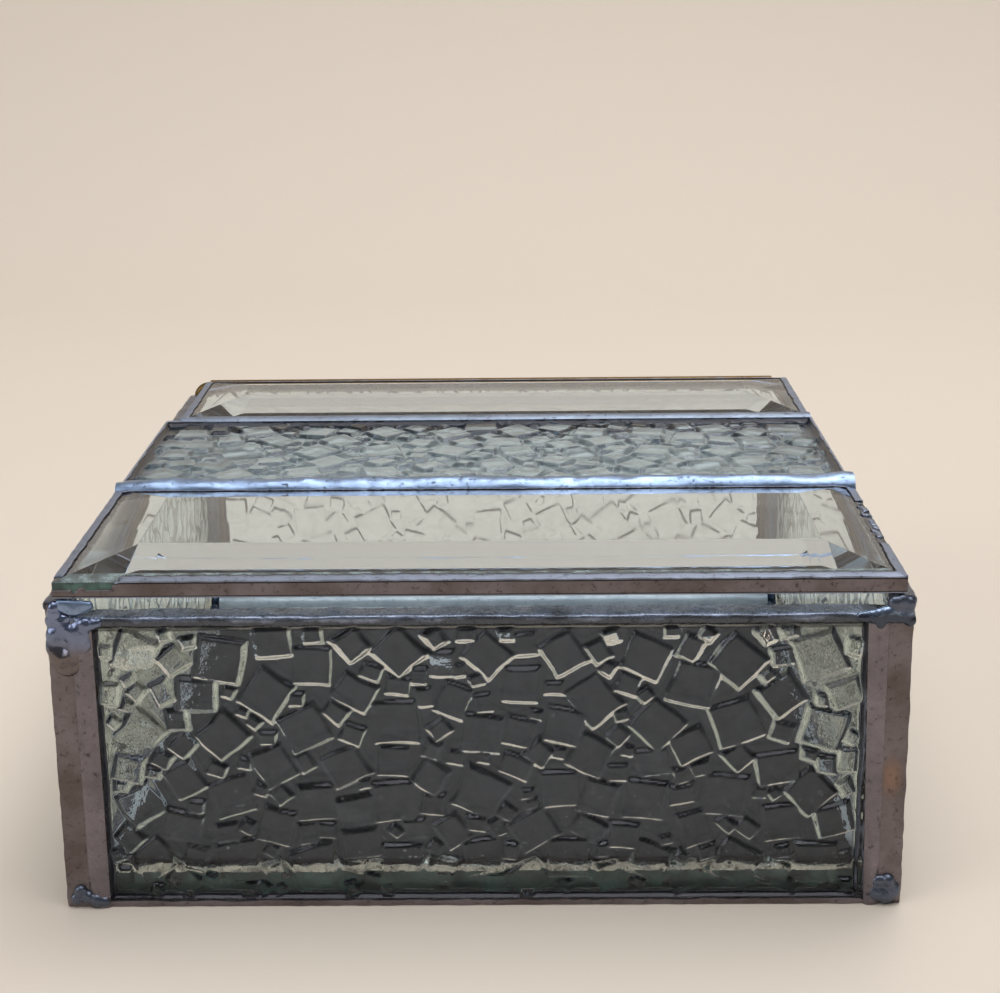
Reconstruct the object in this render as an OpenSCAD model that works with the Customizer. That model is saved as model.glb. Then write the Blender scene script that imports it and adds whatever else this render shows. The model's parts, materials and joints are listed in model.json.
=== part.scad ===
// Keepsake box of foil-wrapped glass panels joined with solder, with a hinged three-strip lid.
// Millimetres. The origin is the middle of the footprint on the table, the front faces -Y, +Z is up.

/* [Box] */
// Width of the box over the foil of its side walls
box_w = 156.4; // [130:0.1:180]
// Height of the side and rear walls over their rim beads
side_h = 61.6; // [50:0.1:80]
// How much lower the front wall is, which leaves the finger gap under the lid
finger_gap = 3.3; // [2:0.1:5]

/* [Lid] */
// Width of the lid over its foil
lid_w = 153.6; // [129:0.1:179]
// Depth of the lid from its front edge to its rear edge, over the foil
lid_d = 146; // [130:0.1:180]
// Distance from the front edge to the middle of the front seam
front_seam_at = 54.9; // [45:0.1:60]
// Distance from the front edge to the middle of the rear seam
rear_seam_at = 108.9; // [95:0.1:115]
// Air between the closed lid and the rims
lid_gap = 0.3; // [0.2:0.05:0.6]
// How far the lid's front edge stands in front of the front wall
lid_overhang = 0.5; // [0:0.1:1]

/* [Glass] */
// Thickness of the rolled textured glass of the walls
wall_glass = 4; // [3:0.1:5]
// Thickness of the glass plate of the base
base_glass = 5; // [3:0.1:6]
// Thickness of the textured strip in the middle of the lid
centre_glass = 2.9; // [2.5:0.1:4]
// Thickness of a bevelled strip at its edge
bevel_edge = 2.9; // [2:0.1:4]
// Thickness of a bevelled strip in its raised middle
bevel_full = 5.6; // [4.5:0.1:7]
// Width of the sloping faces of a bevelled strip
bevel_face = 13.2; // [8:0.1:15]
// Width of the rear bevelled strip over its foil, a little less than the lid's
rear_strip_w = 150; // [148:0.1:153.6]
// How far the middle of the rear strip lies to the right of the lid's middle
rear_strip_x = 1.4; // [0:0.1:1.8]

/* [Cast cubes of the textured glass] */
// How far the cubes stand above the sheet between them
cube_h = 0.8; // [0.4:0.1:1.2]
// Distance between the middles of the main cubes
cube_pitch = 15; // [12:0.5:20]
// Side of a main cube, across its flat top
cube_side = 7; // [5:0.1:8]

/* [Foil and solder] */
// Thickness of the copper foil with its tinning
foil = 0.25; // [0.15:0.05:0.3]
// How far the foil laps over the faces at the upright edges of a wall
wall_lap = 3.2; // [2:0.1:4]
// How far the foil laps over the faces at the rims
rim_lap = 1.2; // [1:0.1:3]
// How far the foil laps over the outer face at the foot of a wall
foot_lap = 1; // [0.5:0.1:2]
// How far the foil laps over the lid's glass along its outer edges
lid_lap = 1.6; // [1:0.1:2]
// How far the foil laps over the textured strip at its two ends
end_lap = 0.4; // [0.2:0.1:2]
// Gap between neighbouring foiled edges, filled with solder
joint_gap = 0.3; // [0.2:0.05:0.5]
// Width of the raised front seam of the lid
seam_w = 5; // [4:0.1:6]
// Height of the raised front seam above the lid's foil
seam_h = 1.9; // [1:0.1:2.5]
// Width of the flatter rear seam of the lid
rear_seam_w = 3.8; // [3:0.1:6]
// Height of the flatter rear seam above the lid's foil
rear_seam_h = 0.9; // [0.5:0.1:2.5]
// Radius of the solder fillets inside the box
fillet_r = 1.5; // [1:0.1:2]
// Radius of the larger fillet between the base and the rear wall
rear_fillet_r = 2.5; // [1.5:0.1:3]

/* [Base liner] */
// Thickness of the felt liner on the base
liner_t = 1; // [0.5:0.1:2]
// Width of bare tinned foil between the liner and the front and side walls
liner_inset = 3.3; // [2.5:0.1:6]
// Width of bare tinned foil between the liner and the rear wall
liner_rear_inset = 9; // [3.5:0.1:15]

/* [Hinge] */
// Outer diameter of the brass hinge tube
tube_od = 3.2; // [3:0.1:4]
// Diameter of the brass hinge rod
rod_d = 2.3; // [1.8:0.1:2.3]
// Radial running clearance of the rod in the tube
rod_clearance = 0.05; // [0.03:0.01:0.08]
// Length of the rod's legs down the rear corners, below the bend
leg_l = 15; // [8:0.5:25]

/* [Hidden] */
$fn = 48;
through = 1;             // how far a cutting shape runs past the face it cuts
wall_t = wall_glass + 2 * foil;
rim_out = 0.3;           // how far a rim bead stands out from the wall
rim_drop = 2.1;          // how far a rim bead reaches down the wall
rim_top = 0.5;           // solder on top of the wall's foil
rim_r = 0.8;             // rounding of a rim bead
corner_bead_w = 4;       // width of the solder bead on an upright corner
corner_bead_h = 0.8;     // its height above the faces
blob_out = 1.3;          // how far the corner blob stands out in front
leg_solder_r = 1.9;      // radius of the solder around a hinge leg
tube_gap = 0.15;         // solder between the hinge tube and the lid's edge
cube_foot = 0.6;         // how much wider a cube is at its foot, on each side
cube_wander = 1.4;       // how far a cube lies off the regular grid
cast_inset = 0.2;        // flush glass between the foil's laps and the sunk field

// The front wall's outer face, placed so that the footprint is centred on the origin
rod_r = rod_d / 2;
box_d = lid_d - lid_overhang - (rim_out + rod_r - tube_od / 2 - tube_gap);
overall_d = blob_out + box_d + rim_out + rod_r + leg_solder_r;
front_y = -overall_d / 2 + blob_out;
rear_y = front_y + box_d;
side_x = box_w / 2;
inner_x = side_x - wall_t;
inner_front_y = front_y + wall_t;
inner_rear_y = rear_y - wall_t;
front_h = side_h - finger_gap;
base_top = base_glass + 2 * foil;

// The lid
lid_z = side_h + lid_gap;
lid_front_y = front_y - lid_overhang;
lid_rear_y = lid_front_y + lid_d;
lid_edge_t = bevel_edge + 2 * foil;
front_seam_y = lid_front_y + front_seam_at;
rear_seam_y = lid_front_y + rear_seam_at;
under_seam_w = 4.4;
under_seam_h = 1.1;

// The hinge axis
axis_y = lid_rear_y + tube_gap + tube_od / 2;
axis_z = lid_z + lid_edge_t / 2;
leg_x = side_x - leg_solder_r - 0.2;
bend_r = 3;
tube_l = 2 * (leg_x - bend_r) - 0.8;

glass_colour = [0.72, 0.78, 0.75, 0.45];
foil_colour = [0.44, 0.37, 0.34];
solder_colour = [0.5, 0.53, 0.57];
brass_colour = [0.66, 0.54, 0.3];
liner_colour = [0.14, 0.14, 0.15];

// A box between two opposite corners
module slab(lo, hi) {
    translate(lo) cube(hi - lo);
}

// Foil folded over every edge of a slab of glass. The children are the windows cut from it.
module foil_wrap(lo, hi) {
    fold = [foil, foil, foil];
    color(foil_colour) difference() {
        slab(lo - fold, hi + fold);
        slab(lo, hi);
        children();
    }
}

// A cube of the cast glass from z0 to z1, its sides sloping out from its top at z = 0
module cast_cube(side, z0, z1) {
    low = side / 2 - z0 * cube_foot / cube_h;
    high = side / 2 - z1 * cube_foot / cube_h;
    corners = [[-1, -1], [1, -1], [1, 1], [-1, 1]];
    polyhedron(
        [for (c = corners) [low * c.x, low * c.y, z0], for (c = corners) [high * c.x, high * c.y, z1]],
        [[0, 1, 2, 3], [7, 6, 5, 4], [4, 5, 1, 0], [5, 6, 2, 1], [6, 7, 3, 2], [7, 4, 0, 3]]);
}

// A sheet of cast glass lying on z = 0, centred on x = 0, with its cubes on top. It has a flat border
// as wide as the foil's laps, and inside it main cubes about cube_pitch apart, each turned its own way.
module cast_sheet(size, side, foot, rim, seed) {
    field = [size.x - 2 * (side + cast_inset), size.y - foot - rim - 2 * cast_inset];
    count = [round(field.x / cube_pitch), round(field.y / cube_pitch)];
    cell = [field.x / count.x, field.y / count.y];
    dice = rands(-1, 1, 4 * count.x * count.y, seed);
    color(glass_colour) difference() {
        translate([-size.x / 2, 0, 0]) cube(size);
        difference() {
            translate([-field.x / 2, foot + cast_inset, size.z - cube_h])
                cube([field.x, field.y, cube_h + through]);
            for (i = [0 : count.x - 1], j = [0 : count.y - 1]) {
                k = 4 * (i + j * count.x);
                translate([
                    (i + 0.5 - count.x / 2) * cell.x + cube_wander * dice[k],
                    foot + cast_inset + (j + 0.5) * cell.y + cube_wander * dice[k + 1],
                    size.z])
                    rotate(45 * dice[k + 2])
                        cast_cube(cube_side + 0.8 * dice[k + 3], -cube_h - 0.2, 0.2);
            }
        }
    }
}

// A bar along X with a round-cornered section, z from 0 to h, y from 0 to w
module round_bar(len, w, h, r) {
    rotate([90, 0, 90]) linear_extrude(len) {
        translate([r, 0]) square([w - 2 * r, h]);
        translate([0, r]) square([w, h - 2 * r]);
        for (y = [r, w - r], z = [r, h - r]) translate([y, z]) circle(r);
    }
}

// The rounded cap of a solder bead along X, centred on y = 0, rising from z = 0
module bead(len, w, h) {
    r = (w * w / 4 + h * h) / (2 * h);
    rotate([90, 0, 90]) linear_extrude(len, center = true) intersection() {
        translate([0, h - r]) circle(r, $fn = 64);
        translate([-w, 0]) square([2 * w, h + through]);
    }
}

// ---------- walls ----------

// Glass of the front or rear wall: y is its outer face over the foil, dir points into the box
function cross_lo(y, dir) = [-inner_x + joint_gap + foil, min(y, y + dir * wall_t) + foil, foil];
function cross_hi(y, dir, h) =
    [inner_x - joint_gap - foil, max(y, y + dir * wall_t) - foil, h - rim_top - foil];

// Foil of a front or rear wall, with one window through both faces
module cross_foil(y, dir, h) {
    lo = cross_lo(y, dir);
    hi = cross_hi(y, dir, h);
    foil_wrap(lo, hi)
        slab(lo + [wall_lap, -through, foot_lap], hi + [-wall_lap, through, -rim_lap]);
}

// Glass of the left wall; the right wall mirrors it
side_lo = [-side_x + foil, front_y + foil, foil];
side_hi = [-inner_x - foil, rear_y - foil, side_h - rim_top - foil];

module side_glass(seed) {
    size = side_hi - side_lo;
    translate([side_hi.x, mid_y, side_lo.z]) rotate([90, 0, -90])
        cast_sheet([size.y, size.z, size.x], wall_lap, foot_lap, rim_lap, seed);
}

module side_foil() {
    foil_wrap(side_lo, side_hi)
        slab(side_lo + [-through, wall_lap, foot_lap], side_hi + [through, -wall_lap, -rim_lap]);
}

// Glass of the front or rear wall, its corners given, as a sheet with its back on the inside
module cross_glass(lo, hi, seed) {
    size = hi - lo;
    cast_sheet([size.x, size.z, size.y], wall_lap, foot_lap, rim_lap, seed);
}

module front_panel() {
    lo = cross_lo(front_y, 1);
    hi = cross_hi(front_y, 1, front_h);
    translate([0, hi.y, lo.z]) rotate([90, 0, 0]) cross_glass(lo, hi, 13);
}

module rear_panel() {
    lo = cross_lo(rear_y, -1);
    hi = cross_hi(rear_y, -1, side_h);
    translate([0, lo.y, lo.z]) rotate([90, 0, 180]) cross_glass(lo, hi, 5);
}

module left_panel() { side_glass(7); }
module right_panel() { mirror([1, 0, 0]) side_glass(9); }
module front_foil() { cross_foil(front_y, 1, front_h); }
module rear_foil() { cross_foil(rear_y, -1, side_h); }
module left_foil() { side_foil(); }
module right_foil() { mirror([1, 0, 0]) side_foil(); }

// ---------- base ----------

base_lap = liner_inset - joint_gap;
base_rear_lap = liner_rear_inset - joint_gap;
base_lo = [-inner_x + joint_gap + foil, inner_front_y + joint_gap + foil, foil];
base_hi = [inner_x - joint_gap - foil, inner_rear_y - joint_gap - foil, foil + base_glass];

module base_plate() {
    color(glass_colour) slab(base_lo, base_hi);
}

module base_foil() {
    foil_wrap(base_lo, base_hi)
        slab(base_lo + [base_lap, base_lap, -through], base_hi + [-base_lap, -base_rear_lap, through]);
}

module base_liner() {
    color(liner_colour) slab(
        [-inner_x + liner_inset, inner_front_y + liner_inset, base_top],
        [inner_x - liner_inset, inner_rear_y - liner_rear_inset, base_top + liner_t]);
}

// Solder in the joint under the base's edge and the fillet above it, for a wall along X
// whose inner face is y = 0, with the box on the +y side
module base_seam(len, r) {
    color(solder_colour) {
        translate([-len / 2, 0, 0]) cube([len, joint_gap, base_top]);
        translate([0, 0, base_top]) intersection() {
            rotate([0, 90, 0]) cylinder(r = r, h = len, center = true);
            translate([-len / 2, 0, 0]) cube([len, r, r]);
        }
    }
}

seam_x_l = 2 * (inner_x - fillet_r);
seam_y_l = inner_rear_y - inner_front_y - 2 * fillet_r;
mid_y = (front_y + rear_y) / 2;

module base_seam_front() {
    translate([0, inner_front_y, 0]) base_seam(seam_x_l, fillet_r);
}

module base_seam_rear() {
    translate([0, inner_rear_y, 0]) rotate([0, 0, 180]) base_seam(seam_x_l, rear_fillet_r);
}

module base_seam_left() {
    translate([-inner_x, mid_y, 0]) rotate([0, 0, -90]) base_seam(seam_y_l, fillet_r);
}

module base_seam_right() {
    translate([inner_x, mid_y, 0]) rotate([0, 0, 90]) base_seam(seam_y_l, fillet_r);
}

// ---------- upright corner seams ----------

// The front left corner: a bead outside, solder in the joint and a fillet inside
module corner_seam(wall_h) {
    bead_x = -inner_x + joint_gap + corner_bead_w / 2 - 0.5;
    top = wall_h - rim_drop;
    translate([bead_x, 0, top / 2]) rotate([90, 0, 0]) rotate([0, 0, 90])
        bead(top, corner_bead_w, corner_bead_h);
    translate([-inner_x, 0, 0]) cube([joint_gap, wall_t, top]);
    translate([-inner_x, wall_t, base_top]) intersection() {
        cylinder(r = fillet_r, h = top - base_top);
        cube([fillet_r, fillet_r, top]);
    }
}

module corner_seam_front(side) {
    color(solder_colour) translate([0, front_y, 0])
        mirror([side > 0 ? 1 : 0, 0, 0]) corner_seam(front_h);
}

module corner_seam_rear(side) {
    color(solder_colour) translate([0, rear_y, 0]) mirror([0, 1, 0])
        mirror([side > 0 ? 1 : 0, 0, 0]) corner_seam(side_h);
}

module corner_seam_front_left() { corner_seam_front(-1); }
module corner_seam_front_right() { corner_seam_front(1); }
module corner_seam_rear_left() { corner_seam_rear(-1); }
module corner_seam_rear_right() { corner_seam_rear(1); }

// ---------- rim beads ----------

// Solder cap on the top edge of a wall along X whose outer face is y = 0
module rim_bead(len, h) {
    color(solder_colour) difference() {
        translate([-len / 2, -rim_out, h - rim_drop])
            round_bar(len, wall_t + 2 * rim_out, rim_drop, rim_r);
        translate([-len / 2 - through, 0, h - rim_drop - through])
            cube([len + 2 * through, wall_t, rim_drop + through - rim_top]);
    }
}

module rim_bead_front() { translate([0, front_y, 0]) rim_bead(2 * inner_x, front_h); }

module rim_bead_rear() {
    translate([0, rear_y, 0]) rotate([0, 0, 180]) rim_bead(2 * inner_x - 2 * rim_out, side_h);
}

module rim_bead_left() {
    translate([-side_x, mid_y, 0]) rotate([0, 0, -90]) rim_bead(box_d, side_h);
}

module rim_bead_right() {
    translate([side_x, mid_y, 0]) rotate([0, 0, 90]) rim_bead(box_d, side_h);
}

// The surplus of solder on the front left corner, from the front bead up to the side rim
module solder_blob() {
    low = front_h - 11;
    high = side_h - rim_drop - 1.6;
    color(solder_colour) difference() {
        translate([0, front_y, 0]) intersection() {
            translate([-side_x - rim_out, -blob_out, low]) cube([10, blob_out, high + 1 - low]);
            hull() {
                for (x = [0, 3]) translate([-side_x + x + 2, 0.8, high - 1]) sphere(2.1, $fn = 32);
                translate([-side_x + 3, 0.8, low + 2]) sphere(2.1, $fn = 32);
            }
        }
        corner_seam_front_left();
        rim_bead_front();
    }
}

// ---------- lid ----------

// A strip of glass with four sloping faces, its corner at the origin
module bevel_body(w, d, edge, full, face) {
    intersection() {
        rotate([90, 0, 90]) linear_extrude(w)
            polygon([[0, 0], [d, 0], [d, edge], [d - face, full], [face, full], [0, edge]]);
        translate([0, d, 0]) rotate([90, 0, 0]) linear_extrude(d)
            polygon([[0, 0], [w, 0], [w, edge], [w - face, full], [face, full], [0, edge]]);
    }
}

// Glass and foil together of one bevelled strip between the corners lo and hi in plan
module bevel_block(lo, hi) {
    translate([lo.x, lo.y, lid_z])
        bevel_body(hi.x - lo.x, hi.y - lo.y, lid_edge_t, bevel_full + 2 * foil, bevel_face + foil);
}

module bevel_strip(lo, hi) {
    color(glass_colour) translate([lo.x + foil, lo.y + foil, lid_z + foil])
        bevel_body(hi.x - lo.x - 2 * foil, hi.y - lo.y - 2 * foil, bevel_edge, bevel_full, bevel_face);
}

// What the foil around a strip leaves free: its laps are end at both ends, lap0 in front, lap1 behind
module strip_window(lo, hi, end, lap0, lap1) {
    slab([lo.x + foil + end, lo.y + foil + lap0, lid_z - through],
        [hi.x - foil - end, hi.y - foil - lap1, lid_z + 2 * bevel_full]);
}

module bevel_foil(lo, hi, lap0, lap1) {
    color(foil_colour) difference() {
        bevel_block(lo, hi);
        bevel_strip(lo, hi);
        strip_window(lo, hi, lid_lap, lap0, lap1);
    }
}

// The three strips in plan, over their foil
front_lo = [-lid_w / 2, lid_front_y];
front_hi = [lid_w / 2, front_seam_y - joint_gap];
middle_lo = [-lid_w / 2, front_seam_y + joint_gap];
middle_hi = [lid_w / 2, rear_seam_y - joint_gap];
rear_lo = [rear_strip_x - rear_strip_w / 2, rear_seam_y + joint_gap];
rear_hi = [rear_strip_x + rear_strip_w / 2, lid_rear_y];

// Glass of the textured strip
centre_lo = [middle_lo.x + foil, middle_lo.y + foil, lid_z + foil];
centre_hi = [middle_hi.x - foil, middle_hi.y - foil, lid_z + foil + centre_glass];

module lid_front_bevel() { bevel_strip(front_lo, front_hi); }
module lid_rear_bevel() { bevel_strip(rear_lo, rear_hi); }
module lid_front_foil() { bevel_foil(front_lo, front_hi, lid_lap, seam_w / 2); }
module lid_rear_foil() { bevel_foil(rear_lo, rear_hi, rear_seam_w / 2, lid_lap); }

module lid_centre_panel() {
    translate([0, centre_lo.y, centre_lo.z])
        cast_sheet(centre_hi - centre_lo, end_lap, seam_w / 2, rear_seam_w / 2, 11);
}

module lid_centre_foil() {
    foil_wrap(centre_lo, centre_hi)
        strip_window(middle_lo, middle_hi, end_lap, seam_w / 2, rear_seam_w / 2);
}

// Solder between two strips, from x0 to x1: a raised bead w wide and h high on top, the filled
// joint and a low bead below
module lid_seam(y, x0, x1, w, h) {
    fold = [foil, foil, foil];
    inside_l = 2 * (inner_x - rim_out - lid_gap);
    color(solder_colour) difference() {
        union() {
            translate([(x0 + x1) / 2, y, lid_z + lid_edge_t]) bead(x1 - x0, w, h);
            slab([x0, y - joint_gap, lid_z], [x1, y + joint_gap, lid_z + lid_edge_t]);
            translate([0, y, lid_z]) rotate([180, 0, 0]) bead(inside_l, under_seam_w, under_seam_h);
        }
        bevel_block(front_lo, front_hi);
        bevel_block(rear_lo, rear_hi);
        slab(centre_lo - fold, centre_hi + fold);
    }
}

module lid_front_seam() { lid_seam(front_seam_y, front_lo.x, front_hi.x, seam_w, seam_h); }
module lid_rear_seam() { lid_seam(rear_seam_y, rear_lo.x, rear_hi.x, rear_seam_w, rear_seam_h); }

// ---------- hinge ----------

module hinge_tube() {
    color(brass_colour) translate([0, axis_y, axis_z]) rotate([0, 90, 0]) difference() {
        cylinder(d = tube_od, h = tube_l, center = true);
        cylinder(r = rod_r + rod_clearance, h = tube_l + 2 * through, center = true);
    }
}

// Solder that holds the tube along the rear edge of the lid
module hinge_tube_seam() {
    half_h = tube_od / 2 - 0.15;
    color(solder_colour) difference() {
        slab([-tube_l / 2 + 1, lid_rear_y, axis_z - half_h], [tube_l / 2 - 1, axis_y - 0.3, axis_z + half_h]);
        translate([0, axis_y, axis_z]) rotate([0, 90, 0])
            cylinder(d = tube_od, h = tube_l + 2 * through, center = true);
    }
}

// The left half of the rod's bend and leg
module rod_end() {
    translate([-leg_x + bend_r, axis_y, axis_z - bend_r]) rotate([90, 0, 0])
        rotate([0, 0, 90]) rotate_extrude(angle = 90) translate([bend_r, 0]) circle(rod_r, $fn = 32);
    translate([-leg_x, axis_y, axis_z - bend_r - leg_l]) cylinder(r = rod_r, h = leg_l);
}

module hinge_rod() {
    color(brass_colour) {
        translate([0, axis_y, axis_z]) rotate([0, 90, 0])
            cylinder(r = rod_r, h = 2 * (leg_x - bend_r), center = true);
        rod_end();
        mirror([1, 0, 0]) rod_end();
    }
}

// Solder that holds a leg of the rod on the rear end of a side wall
module hinge_solder() {
    low = axis_z - bend_r - leg_l - 1;
    high = side_h - rim_drop - 1;
    color(solder_colour) difference() {
        intersection() {
            translate([-leg_x, axis_y, low]) cylinder(r = leg_solder_r, h = high - low);
            slab([-side_x, rear_y, low - through], [0, rear_y + 10, high + through]);
        }
        translate([-leg_x, axis_y, axis_z - bend_r - leg_l]) cylinder(r = rod_r, h = leg_l);
    }
}

module hinge_solder_left() { hinge_solder(); }
module hinge_solder_right() { mirror([1, 0, 0]) hinge_solder(); }

front_panel();
rear_panel();
left_panel();
right_panel();
base_plate();
front_foil();
rear_foil();
left_foil();
right_foil();
base_foil();
corner_seam_front_left();
corner_seam_front_right();
corner_seam_rear_left();
corner_seam_rear_right();
base_seam_front();
base_seam_rear();
base_seam_left();
base_seam_right();
rim_bead_front();
rim_bead_rear();
rim_bead_left();
rim_bead_right();
solder_blob();
base_liner();
hinge_rod();
hinge_solder_left();
hinge_solder_right();
lid_front_bevel();
lid_centre_panel();
lid_rear_bevel();
lid_front_foil();
lid_centre_foil();
lid_rear_foil();
lid_front_seam();
lid_rear_seam();
hinge_tube();
hinge_tube_seam();
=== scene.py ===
"""Dresses the frame of a foiled and soldered glass keepsake box: rolled and bevelled glass,
copper foil, hand-run solder, felt liner and hinge. Lengths are metres, in the frame's own axes."""

import json
import math
import random

import bmesh
import bpy
import numpy as np
from bpy.props import FloatProperty, FloatVectorProperty, IntProperty, PointerProperty
from mathutils import Matrix, Vector, noise


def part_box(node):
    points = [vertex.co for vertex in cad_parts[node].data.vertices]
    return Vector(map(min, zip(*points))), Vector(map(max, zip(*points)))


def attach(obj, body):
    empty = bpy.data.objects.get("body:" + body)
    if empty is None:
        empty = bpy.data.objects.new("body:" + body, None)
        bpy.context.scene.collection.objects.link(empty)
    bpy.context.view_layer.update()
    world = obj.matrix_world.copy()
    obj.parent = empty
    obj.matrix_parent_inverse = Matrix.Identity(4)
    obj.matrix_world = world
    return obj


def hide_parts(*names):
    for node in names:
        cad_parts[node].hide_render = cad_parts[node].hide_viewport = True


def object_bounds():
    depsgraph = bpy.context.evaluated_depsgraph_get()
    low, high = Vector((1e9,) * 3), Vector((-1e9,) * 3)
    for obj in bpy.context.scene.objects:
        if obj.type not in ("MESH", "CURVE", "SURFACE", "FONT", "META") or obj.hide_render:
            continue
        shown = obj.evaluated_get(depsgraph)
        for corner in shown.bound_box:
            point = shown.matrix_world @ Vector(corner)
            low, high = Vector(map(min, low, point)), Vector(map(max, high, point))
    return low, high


bl_info = {
    "name": "Glass keepsake box",
    "version": (1, 0, 0),
    "blender": (4, 5, 0),
    "location": "View3D > Sidebar > Glass box",
    "description": "Glass, foil, solder, liner and hinge of a keepsake box",
    "category": "Object",
}

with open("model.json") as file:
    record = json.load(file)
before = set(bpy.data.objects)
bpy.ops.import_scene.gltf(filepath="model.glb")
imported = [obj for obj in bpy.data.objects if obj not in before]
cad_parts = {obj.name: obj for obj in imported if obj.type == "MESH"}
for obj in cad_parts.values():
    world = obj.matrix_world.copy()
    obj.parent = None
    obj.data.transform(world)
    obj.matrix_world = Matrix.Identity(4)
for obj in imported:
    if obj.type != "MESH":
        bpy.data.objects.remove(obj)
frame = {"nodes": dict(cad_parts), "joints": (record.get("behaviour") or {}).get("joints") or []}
CAD_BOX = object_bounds()

MM = 0.001
X_AXIS = Vector((1, 0, 0))
Y_AXIS = Vector((0, 1, 0))
Z_AXIS = Vector((0, 0, 1))
# The walls and the way each of them faces
WALLS = (("front", -Y_AXIS), ("rear", Y_AXIS), ("left", -X_AXIS), ("right", X_AXIS))
BOX_BODY = "box"
LID_BODY = "lid"

# The camera in front of the box: its place, its yaw, pitch and roll, and in pixels of the image
# its focal length, the row that it is level with and the row in the middle
CAMERA_PLACE = Vector((8.1, -371.9, 176.9)) * MM
CAMERA_TURN = (math.radians(-0.73), math.radians(14.15), math.radians(-0.64))
IMAGE_WIDTH = 1000
FOCAL_PIXELS = 1769
PRINCIPAL_ROW = 380
MIDDLE_ROW = 496.5


# ---------------------------------------------------------------- properties


def linear(hex_colour):
    """An sRGB colour such as #8090A0 as linear red, green and blue."""
    parts = [int(hex_colour[i : i + 2], 16) / 255 for i in (1, 3, 5)]
    return tuple(c / 12.92 if c <= 0.04045 else ((c + 0.055) / 1.055) ** 2.4 for c in parts)


def length(name, description, millimetres):
    return FloatProperty(
        name=name, description=description, default=millimetres * MM, subtype="DISTANCE", unit="LENGTH"
    )


def colour(name, description, hex_colour):
    return FloatVectorProperty(
        name=name,
        description=description,
        default=linear(hex_colour),
        subtype="COLOR",
        size=3,
        min=0,
        max=1,
    )


class GlassBoxSizes(bpy.types.PropertyGroup):
    """Sizes of the details that the frame doesn't hold."""

    relief_depth: length("Relief depth", "How far the cubes stand above the sheet", 1.05)
    relief_foot: length("Relief foot", "How much wider a cube is at its foot", 0.8)
    cube_gap: length("Cube gap", "Smallest gap between two cubes", 0.5)
    front_cell: length("Front mesh cell", "Mesh size of the front wall's relief", 0.3)
    wall_cell: length("Wall mesh cell", "Mesh size of the other reliefs", 0.4)
    wall_lap: length("Wall lap", "Foil lap at the upright edges of a wall", 3.2)
    rim_lap: length("Rim lap", "Foil lap at a rim", 1.2)
    foot_lap: length("Foot lap", "Foil lap at the foot of a wall", 1.0)
    lid_lap: length("Lid lap", "Foil lap along the outer edges of the lid", 1.9)
    end_lap: length("End lap", "Foil lap at the ends of the lid's textured strip", 0.5)
    seam_lap: length("Seam lap", "Foil lap under the lid's front seam", 2.4)
    seam_hem: length("Seam hem", "Foil seen in front of the lid's front seam", 1.0)
    rear_seam_lap: length("Rear seam lap", "Foil lap under the lid's rear seam", 1.4)
    foil_skin: length("Foil thickness", "Thickness of the foil with its tinning", 0.16)
    foil_wave: length("Foil waviness", "How far the edge of the foil wanders", 0.35)
    crease: length("Foil creases", "How far the foil stands off at its folds", 0.3)
    lump: length("Solder lumps", "Height of the lumps in hand-run solder", 0.22)
    seed: IntProperty(name="Seed", description="Which random pattern is laid", default=11)


class GlassBoxColours(bpy.types.PropertyGroup):
    """Colours of the finishes."""

    rolled_glass: colour("Rolled glass", "Faint green of the front and rear sheets", "#F7F9F7")
    side_glass: colour("Side glass", "Faint green of the side walls' sheets", "#D2DFDB")
    strip_glass: colour("Strip glass", "Faint blue of the lid's textured strip", "#CCEAFF")
    plate_glass: colour("Plate glass", "Near-white of the bevelled strips", "#E6F5FF")
    ground_edge: colour("Ground edge", "Bottle green of a ground glass edge", "#587D76")
    base_glass: colour("Base glass", "Bottle green of the thick base plate", "#B9D6CB")
    base_edge: colour("Base edge", "Lighter green of the base plate's cut edge", "#86AAA2")
    foil_brown: colour("Foil brown", "Aged copper foil", "#665C5A")
    foil_mauve: colour("Foil mauve", "Foil dulled to a mauve grey", "#827A7D")
    # The blue of the tinned foil and of the bright, dull and flooded solder is partly a painted
    # reflection of cool window light on the metal; so is that of the solder skins further down
    foil_tinned: colour("Tinned foil", "Foil under a thin skin of solder", "#868FA2")
    copper: colour("Bare copper", "A spot of foil rubbed bare", "#8A7266")
    solder_bright: colour("Bright solder", "Fresh blue-white skin of the solder", "#8DA1C0")
    solder_dull: colour("Dull solder", "Tarnished solder on the outside", "#616878")
    # Painted reflection: a near-white blue in place of the sky that the smooth solder reflects
    solder_flooded: colour("Flooded solder", "Smooth solder on the base's foil", "#E2EFFF")
    solder_brown: colour("Brown solder", "Solder with a brown patina", "#7F797F")
    brass: colour("Brass", "Tarnished brass of the hinge", "#8A6F42")
    felt: colour("Felt", "Charcoal felt of the liner", "#2A2A2D")
    floor: colour("Floor", "Pale warm floor and backdrop", "#D6CBBE")


def sizes():
    return bpy.context.scene.glass_box_sizes


def colours():
    return bpy.context.scene.glass_box_colours


def wall_laps():
    """The foil laps of a wall: left, right, foot and rim."""
    size = sizes()
    return size.wall_lap, size.wall_lap, size.foot_lap, size.rim_lap


# ---------------------------------------------------------------- materials


def add(tree, kind, inputs=None, **settings):
    """Adds a shader node, sets its settings, and fills or links its inputs."""
    node = tree.nodes.new("ShaderNode" + kind)
    for name, value in settings.items():
        setattr(node, name, value)
    for socket, value in (inputs or {}).items():
        if isinstance(value, bpy.types.NodeSocket):
            tree.links.new(value, node.inputs[socket])
        else:
            node.inputs[socket].default_value = value
    return node


def new_material(name):
    """A material, its node tree and the place on the piece that its patterns follow. The tree and
    the place are None if the material has been made before."""
    material = bpy.data.materials.get(name)
    if material:
        return material, None, None
    material = bpy.data.materials.new(name)
    material.use_nodes = True
    tree = material.node_tree
    tree.nodes.clear()
    return material, tree, add(tree, "TexCoord").outputs["Object"]
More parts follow.
